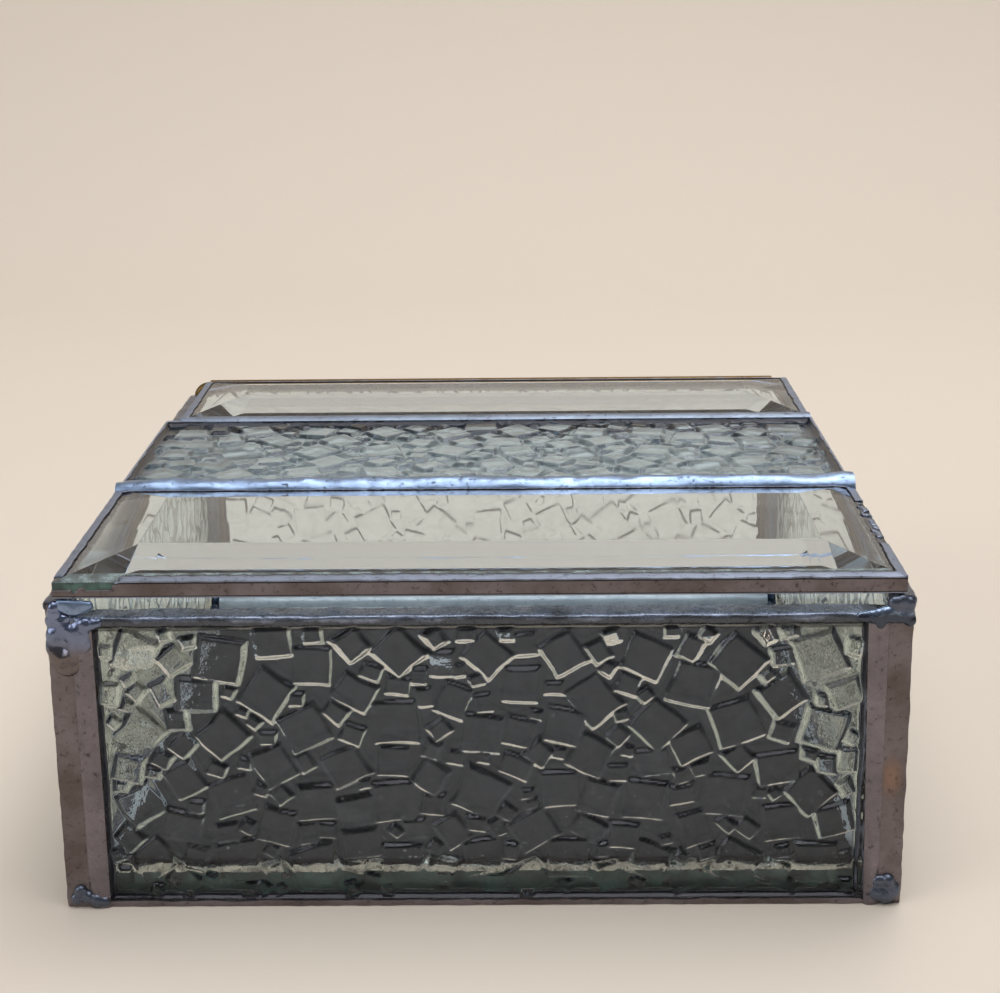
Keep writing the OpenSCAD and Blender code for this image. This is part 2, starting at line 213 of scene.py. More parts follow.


# The mesh attributes that the materials read: 1 on the ledges of the cast cubes, where they get
# painted shade, on a cut edge of glass (0.6 on a band of painted light at a bevel's front), on
# tinned foil, and at the free edge of a foil's lap, where it gets a painted shadow
LEDGE = "ledge"
CUT_EDGE = "cut_edge"
TINNED = "tinned"
LAP = "lap"

# Where the foil of the front right corner is rubbed bare
RUBBED_SPOT = (75.4 * MM, -73.9 * MM, 26 * MM)
# Refractive index of soda-lime glass
GLASS_IOR = 1.52
# The dulled, faintly blue reflection of old rolled glass
DULLED = (0.54, 0.54, 0.62, 1.0)


def close(material, shader):
    """Ends a material's nodes with the shader that makes its surface, and gives the material."""
    add(material.node_tree, "OutputMaterial", {"Surface": shader.outputs[0]})
    return material


def rgba(value):
    """A linear colour with the alpha that a node's socket asks for."""
    return (*value, 1.0)


def per_size(millimetres):
    """The Scale of a texture whose features are this large, on Object coordinates."""
    return 1 / (millimetres * MM)


def glass_rolled(name, tint, roughness=0.02):
    """Soda-lime glass rolled on a patterned bed: clear, faintly tinted, softly rippled, with painted
    shade on the ledges of its cubes."""
    material, tree, place = new_material(name)
    if tree is None:
        return material
    ledge = add(tree, "Attribute", attribute_name=LEDGE).outputs["Fac"]
    haze = add(
        tree, "TexNoise", {"Vector": place, "Scale": per_size(2.4), "Detail": 2.5, "Roughness": 0.6}
    )
    grime = add(tree, "MapRange", {
        "Value": haze.outputs["Fac"], "From Min": 0.45, "From Max": 0.75, "To Max": 0.35,
    })
    clouded = add(tree, "Mix", {
        "Factor": grime.outputs[0], "A": rgba(tint), "B": rgba([channel * 0.4 for channel in tint]),
    }, data_type="RGBA")
    # Painted shade: the ledges are darkened nearly to black
    shaded_ledges = add(tree, "Mix", {
        "Factor": ledge,
        "A": clouded.outputs["Result"],
        "B": rgba([channel * 0.05 for channel in tint]),
    }, data_type="RGBA")
    ripple = add(
        tree, "TexNoise", {"Vector": place, "Scale": per_size(2.4), "Detail": 3.0, "Roughness": 0.55}
    )
    bump = add(tree, "Bump", {"Height": ripple.outputs["Fac"], "Strength": 0.35, "Distance": 0.25 * MM})
    shader = add(tree, "BsdfPrincipled", {
        "Base Color": shaded_ledges.outputs["Result"],
        "Roughness": roughness,
        "IOR": GLASS_IOR,
        "Specular Tint": DULLED,
        "Transmission Weight": 1.0,
        "Normal": bump.outputs[0],
    })
    return close(material, shader)


def glass_polished(name, tint, cut_tint):
    """Float glass, its faces polished flat and nearly colourless, its cut edges green and rough."""
    material, tree, place = new_material(name)
    if tree is None:
        return material
    polish = add(tree, "TexNoise", {"Vector": place, "Scale": per_size(9), "Detail": 2.0})
    smear = add(tree, "MapRange", {
        "Value": polish.outputs["Fac"], "From Min": 0.45, "From Max": 0.8, "To Max": 0.06,
    })
    edge = add(tree, "Attribute", attribute_name=CUT_EDGE).outputs["Fac"]
    cut = add(tree, "Mix", {"Factor": edge, "A": rgba(tint), "B": rgba(cut_tint)}, data_type="RGBA")
    ground = add(tree, "MapRange", {"Value": edge, "To Min": smear.outputs[0], "To Max": 0.35})
    # A ground edge is partly matt, in patches
    patch = add(
        tree, "TexNoise", {"Vector": place, "Scale": per_size(2.6), "Detail": 4.0, "Roughness": 0.65}
    )
    matt = add(tree, "MapRange", {
        "Value": patch.outputs["Fac"], "From Min": 0.4, "From Max": 0.62, "To Min": 0.85, "To Max": 0.2,
    })
    clear = add(tree, "MapRange", {"Value": edge, "To Min": 1.0, "To Max": matt.outputs[0]})
    shader = add(tree, "BsdfPrincipled", {
        "Base Color": cut.outputs["Result"],
        "Roughness": ground.outputs[0],
        "IOR": GLASS_IOR,
        "Transmission Weight": clear.outputs[0],
    })
    return close(material, shader)


def foil_aged():
    """Copper foil, burnished on by hand and aged: brown and mauve, or tinned blue-grey where its
    mesh says so, black along its folds, with painted shadow along its free edges, and one spot
    rubbed to bare copper."""
    material, tree, place = new_material("aged copper foil")
    if tree is None:
        return material
    cloud = add(
        tree, "TexNoise", {"Vector": place, "Scale": per_size(11), "Detail": 6.0, "Roughness": 0.6}
    )
    tone = add(tree, "ValToRGB", {"Fac": cloud.outputs["Fac"]})
    tone.color_ramp.elements[0].position = 0.36
    tone.color_ramp.elements[0].color = rgba(colours().foil_brown)
    tone.color_ramp.elements[1].position = 0.62
    tone.color_ramp.elements[1].color = rgba(colours().foil_mauve)
    rubbed = add(tree, "VectorMath", {0: place, 1: RUBBED_SPOT}, operation="SUBTRACT")
    stretched = add(tree, "VectorMath", {0: rubbed.outputs[0], 1: (1, 1, 0.5)}, operation="MULTIPLY")
    far = add(tree, "VectorMath", {0: stretched.outputs[0]}, operation="LENGTH")
    bare = add(tree, "MapRange", {
        "Value": far.outputs["Value"],
        "From Min": 0.7 * MM,
        "From Max": 2.4 * MM,
        "To Min": 1.0,
        "To Max": 0.0,
    })
    coppery = add(tree, "Mix", {
        "Factor": bare.outputs[0], "A": tone.outputs["Color"], "B": rgba(colours().copper),
    }, data_type="RGBA")
    tin = add(tree, "Attribute", attribute_name=TINNED).outputs["Fac"]
    skin = add(tree, "MapRange", {"Value": tin, "From Min": 0.5, "From Max": 0.7})
    tinned = add(tree, "Mix", {
        "Factor": skin.outputs[0], "A": coppery.outputs["Result"], "B": rgba(colours().foil_tinned),
    }, data_type="RGBA")
    # Black where the tinning ends along a fold, and a painted shadow along the free edge of a lap
    fold = add(tree, "Math", {0: tin, 1: 0.42, 2: 0.16}, operation="COMPARE")
    lap = add(tree, "Attribute", attribute_name=LAP).outputs["Fac"]
    hem = add(tree, "MapRange", {"Value": lap, "From Min": 0.82, "From Max": 0.95})
    speck = add(
        tree, "TexNoise", {"Vector": place, "Scale": per_size(1.1), "Detail": 5.0, "Roughness": 0.7}
    )
    pit = add(tree, "MapRange", {
        "Value": speck.outputs["Fac"], "From Min": 0.33, "From Max": 0.44, "To Min": 0.6, "To Max": 0.0,
    })
    line = add(tree, "Math", {0: fold.outputs[0], 1: hem.outputs[0]}, operation="MAXIMUM")
    black = add(tree, "Math", {0: line.outputs[0], 1: pit.outputs[0]}, operation="MAXIMUM")
    pits_folds_and_shadow = add(tree, "Mix", {
        "Factor": black.outputs[0], "A": tinned.outputs["Result"], "B": rgba(linear("#2A2523")),
    }, data_type="RGBA")
    dull = add(tree, "MapRange", {"Value": cloud.outputs["Fac"], "To Min": 0.36, "To Max": 0.58})
    bump = add(tree, "Bump", {"Height": speck.outputs["Fac"], "Strength": 0.45, "Distance": 0.12 * MM})
    shader = add(tree, "BsdfPrincipled", {
        "Base Color": pits_folds_and_shadow.outputs["Result"],
        "Metallic": 0.85,
        "Roughness": dull.outputs[0],
        "Normal": bump.outputs[0],
    })
    return close(material, shader)


def solder_run(name, skin, flux, dullest=0.45, smoothest=0.2, metallic=1.0, stain_and_shade=None):
    """Tin-lead solder run by hand: a cloudy blue-grey skin with dark flux left in pits. flux is
    how dark the pits are, and dullest and smoothest bound the roughness. Its last argument is
    another colour, for patina and for painted shade: the colour, the axis along which it comes in,
    and where it starts and is full."""
    material, tree, place = new_material(name)
    if tree is None:
        return material
    cloud = add(
        tree, "TexNoise", {"Vector": place, "Scale": per_size(6), "Detail": 7.0, "Roughness": 0.62}
    )
    tone = add(tree, "Mix", {
        "Factor": cloud.outputs["Fac"],
        "A": rgba([channel * 0.5 for channel in skin]),
        "B": rgba([min(1, channel * 1.3) for channel in skin]),
    }, data_type="RGBA")
    if stain_and_shade:
        other, axis, start, full = stain_and_shade
        reach = add(tree, "SeparateXYZ", {"Vector": place}).outputs[axis]
        uneven = add(
            tree, "Math", {0: cloud.outputs["Fac"], 1: 4 * MM, 2: reach}, operation="MULTIPLY_ADD"
        )
        share = add(tree, "MapRange", {
            "Value": uneven.outputs[0], "From Min": start + 2 * MM, "From Max": full + 2 * MM,
        })
        tone = add(tree, "Mix", {
            "Factor": share.outputs[0], "A": tone.outputs["Result"], "B": rgba(other),
        }, data_type="RGBA")
    grain = add(
        tree, "TexNoise", {"Vector": place, "Scale": per_size(1.3), "Detail": 5.0, "Roughness": 0.65}
    )
    pit = add(tree, "MapRange", {
        "Value": grain.outputs["Fac"],
        "From Min": 0.32,
        "From Max": 0.42,
        "To Min": flux,
        "To Max": 0.0,
    })
    pitted = add(tree, "Mix", {
        "Factor": pit.outputs[0], "A": tone.outputs["Result"], "B": rgba(linear("#24262B")),
    }, data_type="RGBA")
    dull = add(tree, "MapRange", {
        "Value": grain.outputs["Fac"],
        "From Min": 0.3,
        "From Max": 0.7,
        "To Min": dullest,
        "To Max": smoothest,
    })
    bump = add(tree, "Bump", {"Height": grain.outputs["Fac"], "Strength": 0.5, "Distance": 0.2 * MM})
    shader = add(tree, "BsdfPrincipled", {
        "Base Color": pitted.outputs["Result"],
        "Metallic": metallic,
        "Roughness": dull.outputs[0],
        "Normal": bump.outputs[0],
    })
    return close(material, shader)


def bright_solder():
    """Solder with a blue-white skin, its blue partly a painted reflection of cool window light."""
    skin = colours().solder_bright
    return solder_run("hand-run bright solder", skin, flux=0.8, dullest=0.5, smoothest=0.26)


def dull_solder():
    """Solder on the outside, greyed by handling."""
    skin = colours().solder_dull
    finish = {"flux": 0.7, "dullest": 0.4, "smoothest": 0.14, "metallic": 0.8}
    return solder_run("hand-run tarnished solder", skin, **finish)


def flooded_solder():
    """Near-white blue with little metal, a painted reflection of the sky at the rear of the base, and
    darker along its front edge.
    """
    # Painted reflection: the pale blue skin, nearly without metal, stands in for the sky in the solder;
    # the front edge is darker
    stain_and_shade = linear("#5E625F"), "Y", -55 * MM, -65 * MM
    skin = colours().solder_flooded
    finish = {"flux": 0.4, "dullest": 0.3, "smoothest": 0.1, "metallic": 0.15}
    return solder_run("flooded smooth solder", skin, stain_and_shade=stain_and_shade, **finish)


def blob_solder():
    """Blue-grey at the top of the drop, brown towards its foot."""
    stain_and_shade = linear("#6F6767"), "Z", 54 * MM, 51 * MM
    # The blue of the skin is partly a painted reflection of cool window light
    skin = linear("#7D87A2")
    finish = {"flux": 0.1, "dullest": 0.3, "smoothest": 0.12}
    return solder_run("smooth two-tone solder", skin, stain_and_shade=stain_and_shade, **finish)


def foot_solder():
    """Pale solder at the foot of the front wall, with much flux left in it."""
    skin = linear("#CFD1CD")
    return solder_run("fluxed pale solder", skin, flux=0.95, dullest=0.4, smoothest=0.12)


def lump_solder():
    """Bright on top and nearly black below: a painted highlight on top and painted shade below."""
    # Painted shade: everything below the top is darkened; the pale blue skin on top is a painted
    # highlight
    stain_and_shade = linear("#4A505C"), "Z", 58.6 * MM, 57.6 * MM
    skin = linear("#94A6C2")
    finish = {"flux": 0.5, "dullest": 0.36, "smoothest": 0.12}
    return solder_run("bright-topped solder", skin, stain_and_shade=stain_and_shade, **finish)


def rim_solder():
    """The cap on the front rim, lighter on top and darker on its face: painted shade on the face."""
    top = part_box("rim_bead_front")[1].z
    # Painted shade: the face below the top is darkened; the blue of the skin is partly a painted
    # reflection of cool window light
    stain_and_shade = linear("#52565E"), "Z", top - 0.15 * MM, top - 0.9 * MM
    skin = linear("#848DA0")
    finish = {"flux": 0.7, "dullest": 0.4, "smoothest": 0.14, "metallic": 0.8}
    return solder_run("front rim solder with painted shade", skin, stain_and_shade=stain_and_shade, **finish)


def cloudy_solder():
    """Bright solder gone cloudy."""
    # Its blue is partly a painted reflection of cool window light
    skin = linear("#8893A4")
    return solder_run("hand-run cloudy solder", skin, flux=0.6, dullest=0.6, smoothest=0.42)


def brown_solder():
    """Solder under the brown patina that matches it to the foil."""
    return solder_run("brown-patinated solder", colours().solder_brown, flux=0.6)


def brass_tarnished():
    """Drawn brass tube and rod, never lacquered: brown gold with darker patches."""
    material, tree, place = new_material("tarnished drawn brass")
    if tree is None:
        return material
    patch = add(
        tree, "TexNoise", {"Vector": place, "Scale": per_size(3), "Detail": 5.0, "Roughness": 0.6}
    )
    tone = add(tree, "Mix", {
        "Factor": patch.outputs["Fac"], "A": rgba(linear("#4E3F28")), "B": rgba(colours().brass),
    }, data_type="RGBA")
    dull = add(tree, "MapRange", {"Value": patch.outputs["Fac"], "To Min": 0.5, "To Max": 0.25})
    shader = add(tree, "BsdfPrincipled", {
        "Base Color": tone.outputs["Result"], "Metallic": 1.0, "Roughness": dull.outputs[0],
    })
    return close(material, shader)


def felt_charcoal():
    """Pressed wool felt: matt, dark, with short lighter fibres."""
    material, tree, place = new_material("pressed charcoal felt")
    if tree is None:
        return material
    # Wool fibre is about 0.03 mm, so it is drawn at 0.5 mm to show at all
    fibre = add(
        tree, "TexNoise", {"Vector": place, "Scale": per_size(0.5), "Detail": 6.0, "Roughness": 0.75}
    )
    tone = add(tree, "Mix", {
        "Factor": fibre.outputs["Fac"], "A": rgba(linear("#18181A")), "B": rgba(colours().felt),
    }, data_type="RGBA")
    bump = add(tree, "Bump", {"Height": fibre.outputs["Fac"], "Strength": 0.8, "Distance": 0.2 * MM})
    speck = add(tree, "TexNoise", {"Vector": place, "Scale": per_size(1.0), "Detail": 1.0})
    lint = add(tree, "MapRange", {"Value": speck.outputs["Fac"], "From Min": 0.72, "From Max": 0.8})
    linty = add(tree, "Mix", {
        "Factor": lint.outputs[0], "A": tone.outputs["Result"], "B": rgba(linear("#9C9C98")),
    }, data_type="RGBA")
    shader = add(tree, "BsdfPrincipled", {
        "Base Color": linty.outputs["Result"],
        "Roughness": 0.95,
        "Sheen Weight": 0.15,
        "Normal": bump.outputs[0],
    })
    return close(material, shader)


def floor_plain():
    """Plain matt card under and behind the box."""
    material, tree, place = new_material("plain pale card")
    if tree is None:
        return material
    grain = add(tree, "TexNoise", {"Vector": place, "Scale": per_size(40), "Detail": 2.0})
    matt = add(tree, "MapRange", {"Value": grain.outputs["Fac"], "To Min": 0.85, "To Max": 0.95})
    shader = add(
        tree, "BsdfPrincipled", {"Base Color": rgba(colours().floor), "Roughness": matt.outputs[0]}
    )
    return close(material, shader)


# ---------------------------------------------------------------- pieces and mesh helpers


# The angle in degrees from which an edge of solder or brass, and one of glass, stays sharp
CRISP_ANGLE = 50
GLASS_ANGLE = 25


def finish_piece(bm, name, material, body, nodes, smooth=True, crisp=None):
    """Turns a bmesh into a finished piece that rides on a body and stands for its nodes, kept
    inside the box of the frame. crisp is the angle in degrees from which its edges stay sharp."""
    low, high = CAD_BOX
    for vert in bm.verts:
        for axis in range(3):
            vert.co[axis] = min(max(vert.co[axis], low[axis]), high[axis])
    mesh = bpy.data.meshes.new(name)
    for face in bm.faces:
        face.smooth = smooth and face.smooth
    bm.to_mesh(mesh)
    bm.free()
    if crisp:
        mesh.set_sharp_from_angle(angle=math.radians(crisp))
    mesh.materials.append(material)
    piece = bpy.data.objects.new(name, mesh)
    bpy.context.scene.collection.objects.link(piece)
    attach(piece, body)
    if nodes:
        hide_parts(*nodes)
    return piece


def clamp(value):
    """The value, kept between 0 and 1."""
    return min(1.0, max(0.0, value))


def quarter_turn(steps):
    """The angles of a quarter circle, drawn in this many steps."""
    return [math.pi / 2 * i / steps for i in range(steps + 1)]


def smooth_faces(bm):
    """Shades every face smooth."""
    for face in bm.faces:
        face.smooth = True


def ripple(place, size, seed):
    """Smooth noise from -1 to 1 whose features are about this size."""
    return noise.noise(place / size + Vector((seed * 7.3, seed * 3.1, seed * 1.7)))


def lump(bm, amount, size, seed, weight=lambda place: 1.0, drawn=(1, 1, 1)):
    """Pushes the surface in and out along its normals, as solder runs and cools. drawn is how
    far the lumps are drawn out along each axis."""
    bm.normal_update()
    moves = []
    for vert in bm.verts:
        place = Vector([value / by for value, by in zip(vert.co, drawn)])
        push = ripple(place, size, seed) + 0.4 * ripple(place, size * 0.36, seed + 5)
        moves.append(vert.normal * push * amount * weight(vert.co))
    for vert, move in zip(bm.verts, moves):
        vert.co += move


def sweep(bm, outline, run, steps):
    """Carries a closed outline of points straight along a vector and closes both ends."""
    verts = [bm.verts.new(point) for point in outline]
    edges = [bm.edges.new((verts[i - 1], verts[i])) for i in range(len(verts))]
    made = bmesh.ops.spin(
        bm,
        geom=verts + edges,
        cent=(0, 0, 0),
        axis=(0, 0, 1),
        dvec=run / steps,
        angle=0,
        steps=steps,
        use_duplicate=False,
    )
    last = [g for g in made["geom_last"] if isinstance(g, bmesh.types.BMEdge)]
    for ring in (edges, last):
        bmesh.ops.contextual_create(bm, geom=ring)
    bmesh.ops.recalc_face_normals(bm, faces=bm.faces)


class GlassPanel:
    """A flat panel in its own axes: s to the right, t up, h outwards from the outer face."""

    def __init__(self, low, high, outward):
        up = Y_AXIS if abs(outward.z) > 0.5 else Z_AXIS
        across = up.cross(outward)
        size = high - low
        self.width = abs(size.dot(across))
        self.height = abs(size.dot(up))
        self.depth = abs(size.dot(outward))
        middle = (low + high) / 2
        corner = middle - across * self.width / 2 - up * self.height / 2
        corner += outward * self.depth / 2
        self.matrix = Matrix.Translation(corner) @ Matrix((across, up, outward)).transposed().to_4x4()


# ---------------------------------------------------------------- rolled glass


# Half the side of the cubes that fill the gaps between the main ones, in millimetres, and how
# many are tried on each square centimetre
CUBE_SIZES = ((3.3, 5), (2.7, 12), (2.0, 25), (1.4, 40), (0.9, 40))
# Share of the cubes whose tops lean so far down that they catch the light
LEANING_SHARE = 0.06
# Share of its ground that a small cube may find taken
MOST_OVERLAP = 0.03
# Sides of a flat face that are shorter than this belong to a main cube
LONGEST_SIDE = 12 * MM
# How steeply a ledge has to face up before painted shade lies on it, over what range of its normal
# it grows to full, and the height of the band of painted shade in the groove under a rim's foil
LEDGE_TILT = 0.22
LEDGE_FADE = 0.25
GROOVE_HEIGHT = 1.3 * MM


def main_cubes(node, panel):
    """The large cubes of a panel's node: middle, half sides and turn of each flat top."""
    into = panel.matrix.inverted()
    bm = bmesh.new()
    bm.from_mesh(frame["nodes"][node].data)
    bmesh.ops.remove_doubles(bm, verts=bm.verts, dist=0.001 * MM)
    bmesh.ops.dissolve_limit(bm, angle_limit=0.01, verts=bm.verts, edges=bm.edges)
    cubes = []
    for face in bm.faces:
        points = [into @ vert.co for vert in face.verts]
        if len(points) != 4 or max(abs(point.z) for point in points) > 0.01 * MM:
            continue
        side, next_side = points[1] - points[0], points[2] - points[1]
        if max(side.length, next_side.length) < LONGEST_SIDE:
            middle = (points[0] + points[2]) / 2
            turn = math.atan2(side.y, side.x)
            cubes.append((middle.x, middle.y, side.length / 2, next_side.length / 2, turn))
    bm.free()
    return cubes


def cube_relief(across, up, panel, node, laps, seed):
    """Height of the cast pattern over each point: tilted cubes on a sunk sheet, and a border
    that is flush with the outer face under the foil."""
    size = sizes()
    steep = size.relief_depth / size.relief_foot
    left, right, foot, rim = laps
    inside = np.minimum.reduce(
        [across - left, panel.width - right - across, up - foot, panel.height - rim - up]
    )
    # The sides of the cubes are a little crooked, and the sheet between them is wavy
    bow, nick = 0.16 * MM, 0.1 * MM
    bent_s = across + bow * np.sin(up / (1.9 * MM) + seed) + nick * np.sin(across / (0.8 * MM))
    bent_t = up + bow * np.sin(across / (2.3 * MM) + seed) + nick * np.sin(up / (0.7 * MM))
    wave = 0.06 * np.sin(across / (2.7 * MM)) * np.sin(up / (3.1 * MM))
    sheet = -size.relief_depth * (0.94 + wave)
    height = np.where(inside < 0, 0.0, np.maximum(sheet, -inside * steep))
    taken = inside < 0.3 * MM
    dice = random.Random(seed)

    def lay(middle_s, middle_t, half_s, half_t, turn, sure):
        """Lays a cube, if it is sure to be there or its ground is still free."""
        reach = 1.45 * (max(half_s, half_t) + size.relief_foot)
        near = np.flatnonzero((abs(across - middle_s) < reach) & (abs(up - middle_t) < reach))
        ds, dt = bent_s[near] - middle_s, bent_t[near] - middle_t
        u = abs(ds * math.cos(turn) + dt * math.sin(turn)) - half_s
        v = abs(dt * math.cos(turn) - ds * math.sin(turn)) - half_t
        outside = np.maximum(u, v)
        ground = near[outside < size.cube_gap]
        if not sure and (len(ground) == 0 or taken[ground].mean() > MOST_OVERLAP):
            return
        taken[near[outside < size.cube_gap / 2]] = True
        lean_s, lean_t = dice.gauss(0, 0.03), dice.gauss(-0.01, 0.035)
        top = -dice.uniform(0.02, 0.3) * size.relief_depth
        if dice.random() < LEANING_SHARE:
            lean_t += dice.uniform(0.12, 0.22)
            top -= 0.25 * size.relief_depth
        mound = top + lean_s * ds + lean_t * dt - np.maximum(outside, 0) * steep
        height[near] = np.maximum(height[near], np.minimum(mound, 0))

    for cube in main_cubes(node, panel):
        lay(*cube, True)
    square_centimetres = panel.width * panel.height * 1e4
    for half, tries in CUBE_SIZES:
        for _ in range(int(tries * square_centimetres)):
            half_s = half * MM * dice.uniform(0.85, 1.15)
            half_t = half_s * dice.uniform(0.7, 1.2)
            place = dice.uniform(0, panel.width), dice.uniform(0, panel.height)
            lay(*place, half_s, half_t, dice.uniform(0, math.pi), False)
    return height


def rolled_panel(name, node, outward, glass, body, laps, cell, seed):
    """A panel of patterned glass: a relief on the outer face, smooth on the inner one."""
    low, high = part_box(node)
    panel = GlassPanel(low, high, outward)
    columns = round(panel.width / cell)
    rows = round(panel.height / cell)
    bm = bmesh.new()
    ledge = bm.verts.layers.float.new(LEDGE)
    bmesh.ops.create_grid(bm, x_segments=columns, y_segments=rows, size=0.5)
    verts = list(bm.verts)
    flat = np.array([vert.co[:2] for vert in verts]) + 0.5
    across = flat[:, 0] * panel.width
    up = flat[:, 1] * panel.height
    heights = cube_relief(across, up, panel, node, laps, seed)
    for vert, s, t, h in zip(verts, across, up, heights):
        vert.co = (s, t, h)
    # Painted shade lies on the ledges of a wall that face up, and in the groove under the foil of its
    # rim. On the lid it is fainter, on the ledges that face the front.
    bm.normal_update()
    facing, most, groove = 1, 1.0, panel.height - laps[3] - GROOVE_HEIGHT
    if outward.z > 0.5:
        facing, most, groove = -1, 0.4, math.inf
    for vert, t in zip(verts, up):
        painted_shade = min(most, max(0.0, (vert.normal.y * facing - LEDGE_TILT) / LEDGE_FADE))
        vert[ledge] = 1.0 if t > groove else painted_shade
    smooth_faces(bm)
    rim = [edge for edge in bm.edges if edge.is_boundary]
    walls = bmesh.ops.extrude_edge_only(bm, edges=rim)["geom"]
    for vert in walls:
        if isinstance(vert, bmesh.types.BMVert):
            vert.co.z = -panel.depth
            vert[ledge] = 0.0
    back = [edge for edge in walls if isinstance(edge, bmesh.types.BMEdge) and edge.is_boundary]
    bmesh.ops.contextual_create(bm, geom=back)
    for face in bm.faces:
        face.smooth = face.calc_center_median().z > -0.5 * panel.depth
    bmesh.ops.recalc_face_normals(bm, faces=bm.faces)
    bm.transform(panel.matrix)
    return finish_piece(bm, name, glass, body, [node])


# ---------------------------------------------------------------- foil


# How deep the foil sits in the glass, so that no gap shows, and the angle of a crisp fold
EMBED = 0.03 * MM
FOLD_ANGLE = 35
# The rows of a strip of foil, from the free edge of its outer lap to that of its inner one: how
# far out in the lap a row lies, and how far back through the thickness of the glass
OUTER_LAP = ((1.0, 0), (0.62, 0), (0.28, 0))
INNER_LAP = ((0.28, 1), (0.62, 1), (1.0, 1))
# The laps inside the box are narrower than the outer ones
NARROW_LAP = ((0.16, 1), (0.35, 1), (0.55, 1))


def foil_rows(steps, inner=INNER_LAP):
    """The rows of a strip of foil that crosses the edge of the glass in this many steps."""
    return OUTER_LAP + tuple((0.0, i / steps) for i in range(steps + 1)) + inner


def tinned_inside(fraction, back):
    """Only the lap inside the box."""
    return back == 1 and fraction > 0


def tinned_faces(fraction, back):
    """Both laps, and not the edge between them."""
    return back in (0, 1)


def tinned_all(fraction, back):
    """All of the foil."""
    return True


def foil_frame(panel, laps, step, seed, tinned, rows, slope=0.0, torn=None, narrow=1.0):
    """Foil folded round the four edges of a panel. laps are left, right, foot and rim, and step
    is the distance between its points along an edge. tinned(fraction, back) says which of its
    rows are tinned, slope is the rise of a bevel under the outer lap, and torn(s, t, h) says where
    foil is gone. narrow is the share of its width that the right lap still has at its foot."""
    left, right, foot, rim = laps
    wave = sizes().foil_wave
    width, height, depth = panel.width, panel.height, panel.depth
    # For each side: its own lap, the laps it starts and ends against, and its length
    sides = (
        ("foot", foot, right, left, width),
        ("right", right, rim, foot, height),
        ("rim", rim, left, right, width),
        ("left", left, foot, rim, height),
    )
    bm = bmesh.new()
    tin_layer = bm.verts.layers.float.new(TINNED)
    lap_layer = bm.verts.layers.float.new(LAP)
    for number, (side, lap, start, end, run) in enumerate(sides):
        before = set(bm.verts)
        bmesh.ops.create_grid(bm, x_segments=round(run / step), y_segments=len(rows) - 1, size=0.5)
        for vert in set(bm.verts) - before:
            along = vert.co.x + 0.5
            fraction, back = rows[round((vert.co.y + 0.5) * (len(rows) - 1))]
            place = fraction * start + along * (run - fraction * (start + end))
            fade = min(1, 12 * along * (1 - along))
            spot = Vector((place, number * 0.1, back * 0.05))
            wander = ripple(spot, 2.6 * MM, seed) + 0.5 * ripple(spot, 0.9 * MM, seed + 3)
            reach = lap * (1 - (1 - narrow) * place / run) if side == "right" else lap
            inset = max(EMBED, fraction * (reach + wander * wave * fade))
            place = min(max(place, EMBED), run - EMBED)
            s, t = {
                "foot": (width - place, inset),
                "right": (width - inset, height - place),
                "rim": (place, height - inset),
                "left": (inset, place),
            }[side]
            edge = min(s, width - s, t, height - t)
            h = -depth + EMBED if back == 1 else -back * depth - EMBED
            if back == 0:
                crease = abs(ripple(Vector((place, number * 0.1, 0.7)), 4 * MM, seed + 8))
                h += slope * edge + sizes().crease * crease * (1 - fraction)
            vert.co = (s, t, h)
            vert[tin_layer] = float(tinned(fraction, back))
            vert[lap_layer] = 0.0 if tinned is tinned_all else fraction
    bmesh.ops.remove_doubles(bm, verts=bm.verts, dist=0.01 * MM)
    if torn:
        gone = [face for face in bm.faces if torn(*face.calc_center_median())]
        bmesh.ops.delete(bm, geom=gone, context="FACES")
        # A torn edge is ragged, and the same each time only if noise_vector is given its seed
        noise.seed_set(seed)
        for vert in bm.verts:
            if vert.is_boundary:
                vert.co += noise.noise_vector(vert.co / (0.5 * MM)) * 0.12 * MM
    smooth_faces(bm)
    bm.transform(panel.matrix)
    return bm


def finish_foil(bm, name, metal, body, node, skin):
    """A finished piece of foil: an open skin that gets its thickness outwards."""
    piece = finish_piece(bm, name, metal, body, [node], crisp=FOLD_ANGLE)
    shell = piece.modifiers.new("thickness", "SOLIDIFY")
    shell.thickness = skin + EMBED
    shell.offset = 1
    shell.use_even_offset = False


# ---------------------------------------------------------------- solder


def bead_outline(width, height, sink):
    """A bead's round back, from foot to foot, over a flat underside sunk below the face it is on."""
    radius = (width * width / 4 + height * height) / (2 * height)
    half = math.asin(min(1, width / 2 / radius))
    if height > radius:
        half = math.pi - half
    turns = [-half + 2 * half * i / 8 for i in range(9)]
    back = [(radius * math.sin(a), height - radius + radius * math.cos(a)) for a in turns]
    return [(back[0][0], -sink)] + back + [(back[-1][0], -sink)]


def bead(bm, start, run, across, outward, width, height, steps, sink=0.1 * MM):
    """A straight solder bead on a face, from start along run."""
    outline = [start + across * a + outward * b for a, b in bead_outline(width, height, sink)]
    sweep(bm, outline, run, steps)


# ---------------------------------------------------------------- operators


class BoxOperator:
    """What every operator of this script shares."""

    bl_options = {"REGISTER", "UNDO"}


class GLASSBOX_OT_walls(BoxOperator, bpy.types.Operator):
    """The four walls of rolled glass"""

    bl_idname = "glassbox.walls"
    bl_label = "Wall glass"

    def execute(self, context):
        size = sizes()
        front_glass = glass_rolled("rolled soda-lime glass", colours().rolled_glass)
        side_glass = glass_rolled("greener rolled glass", colours().side_glass)
        for number, (side, outward) in enumerate(WALLS):
            rolled_panel(
                f"{side}_wall_glass",
                f"{side}_panel",
                outward,
                side_glass if outward.x else front_glass,
                BOX_BODY,
                wall_laps(),
                size.front_cell if side == "front" else size.wall_cell,
                size.seed + number,
            )
        return {"FINISHED"}


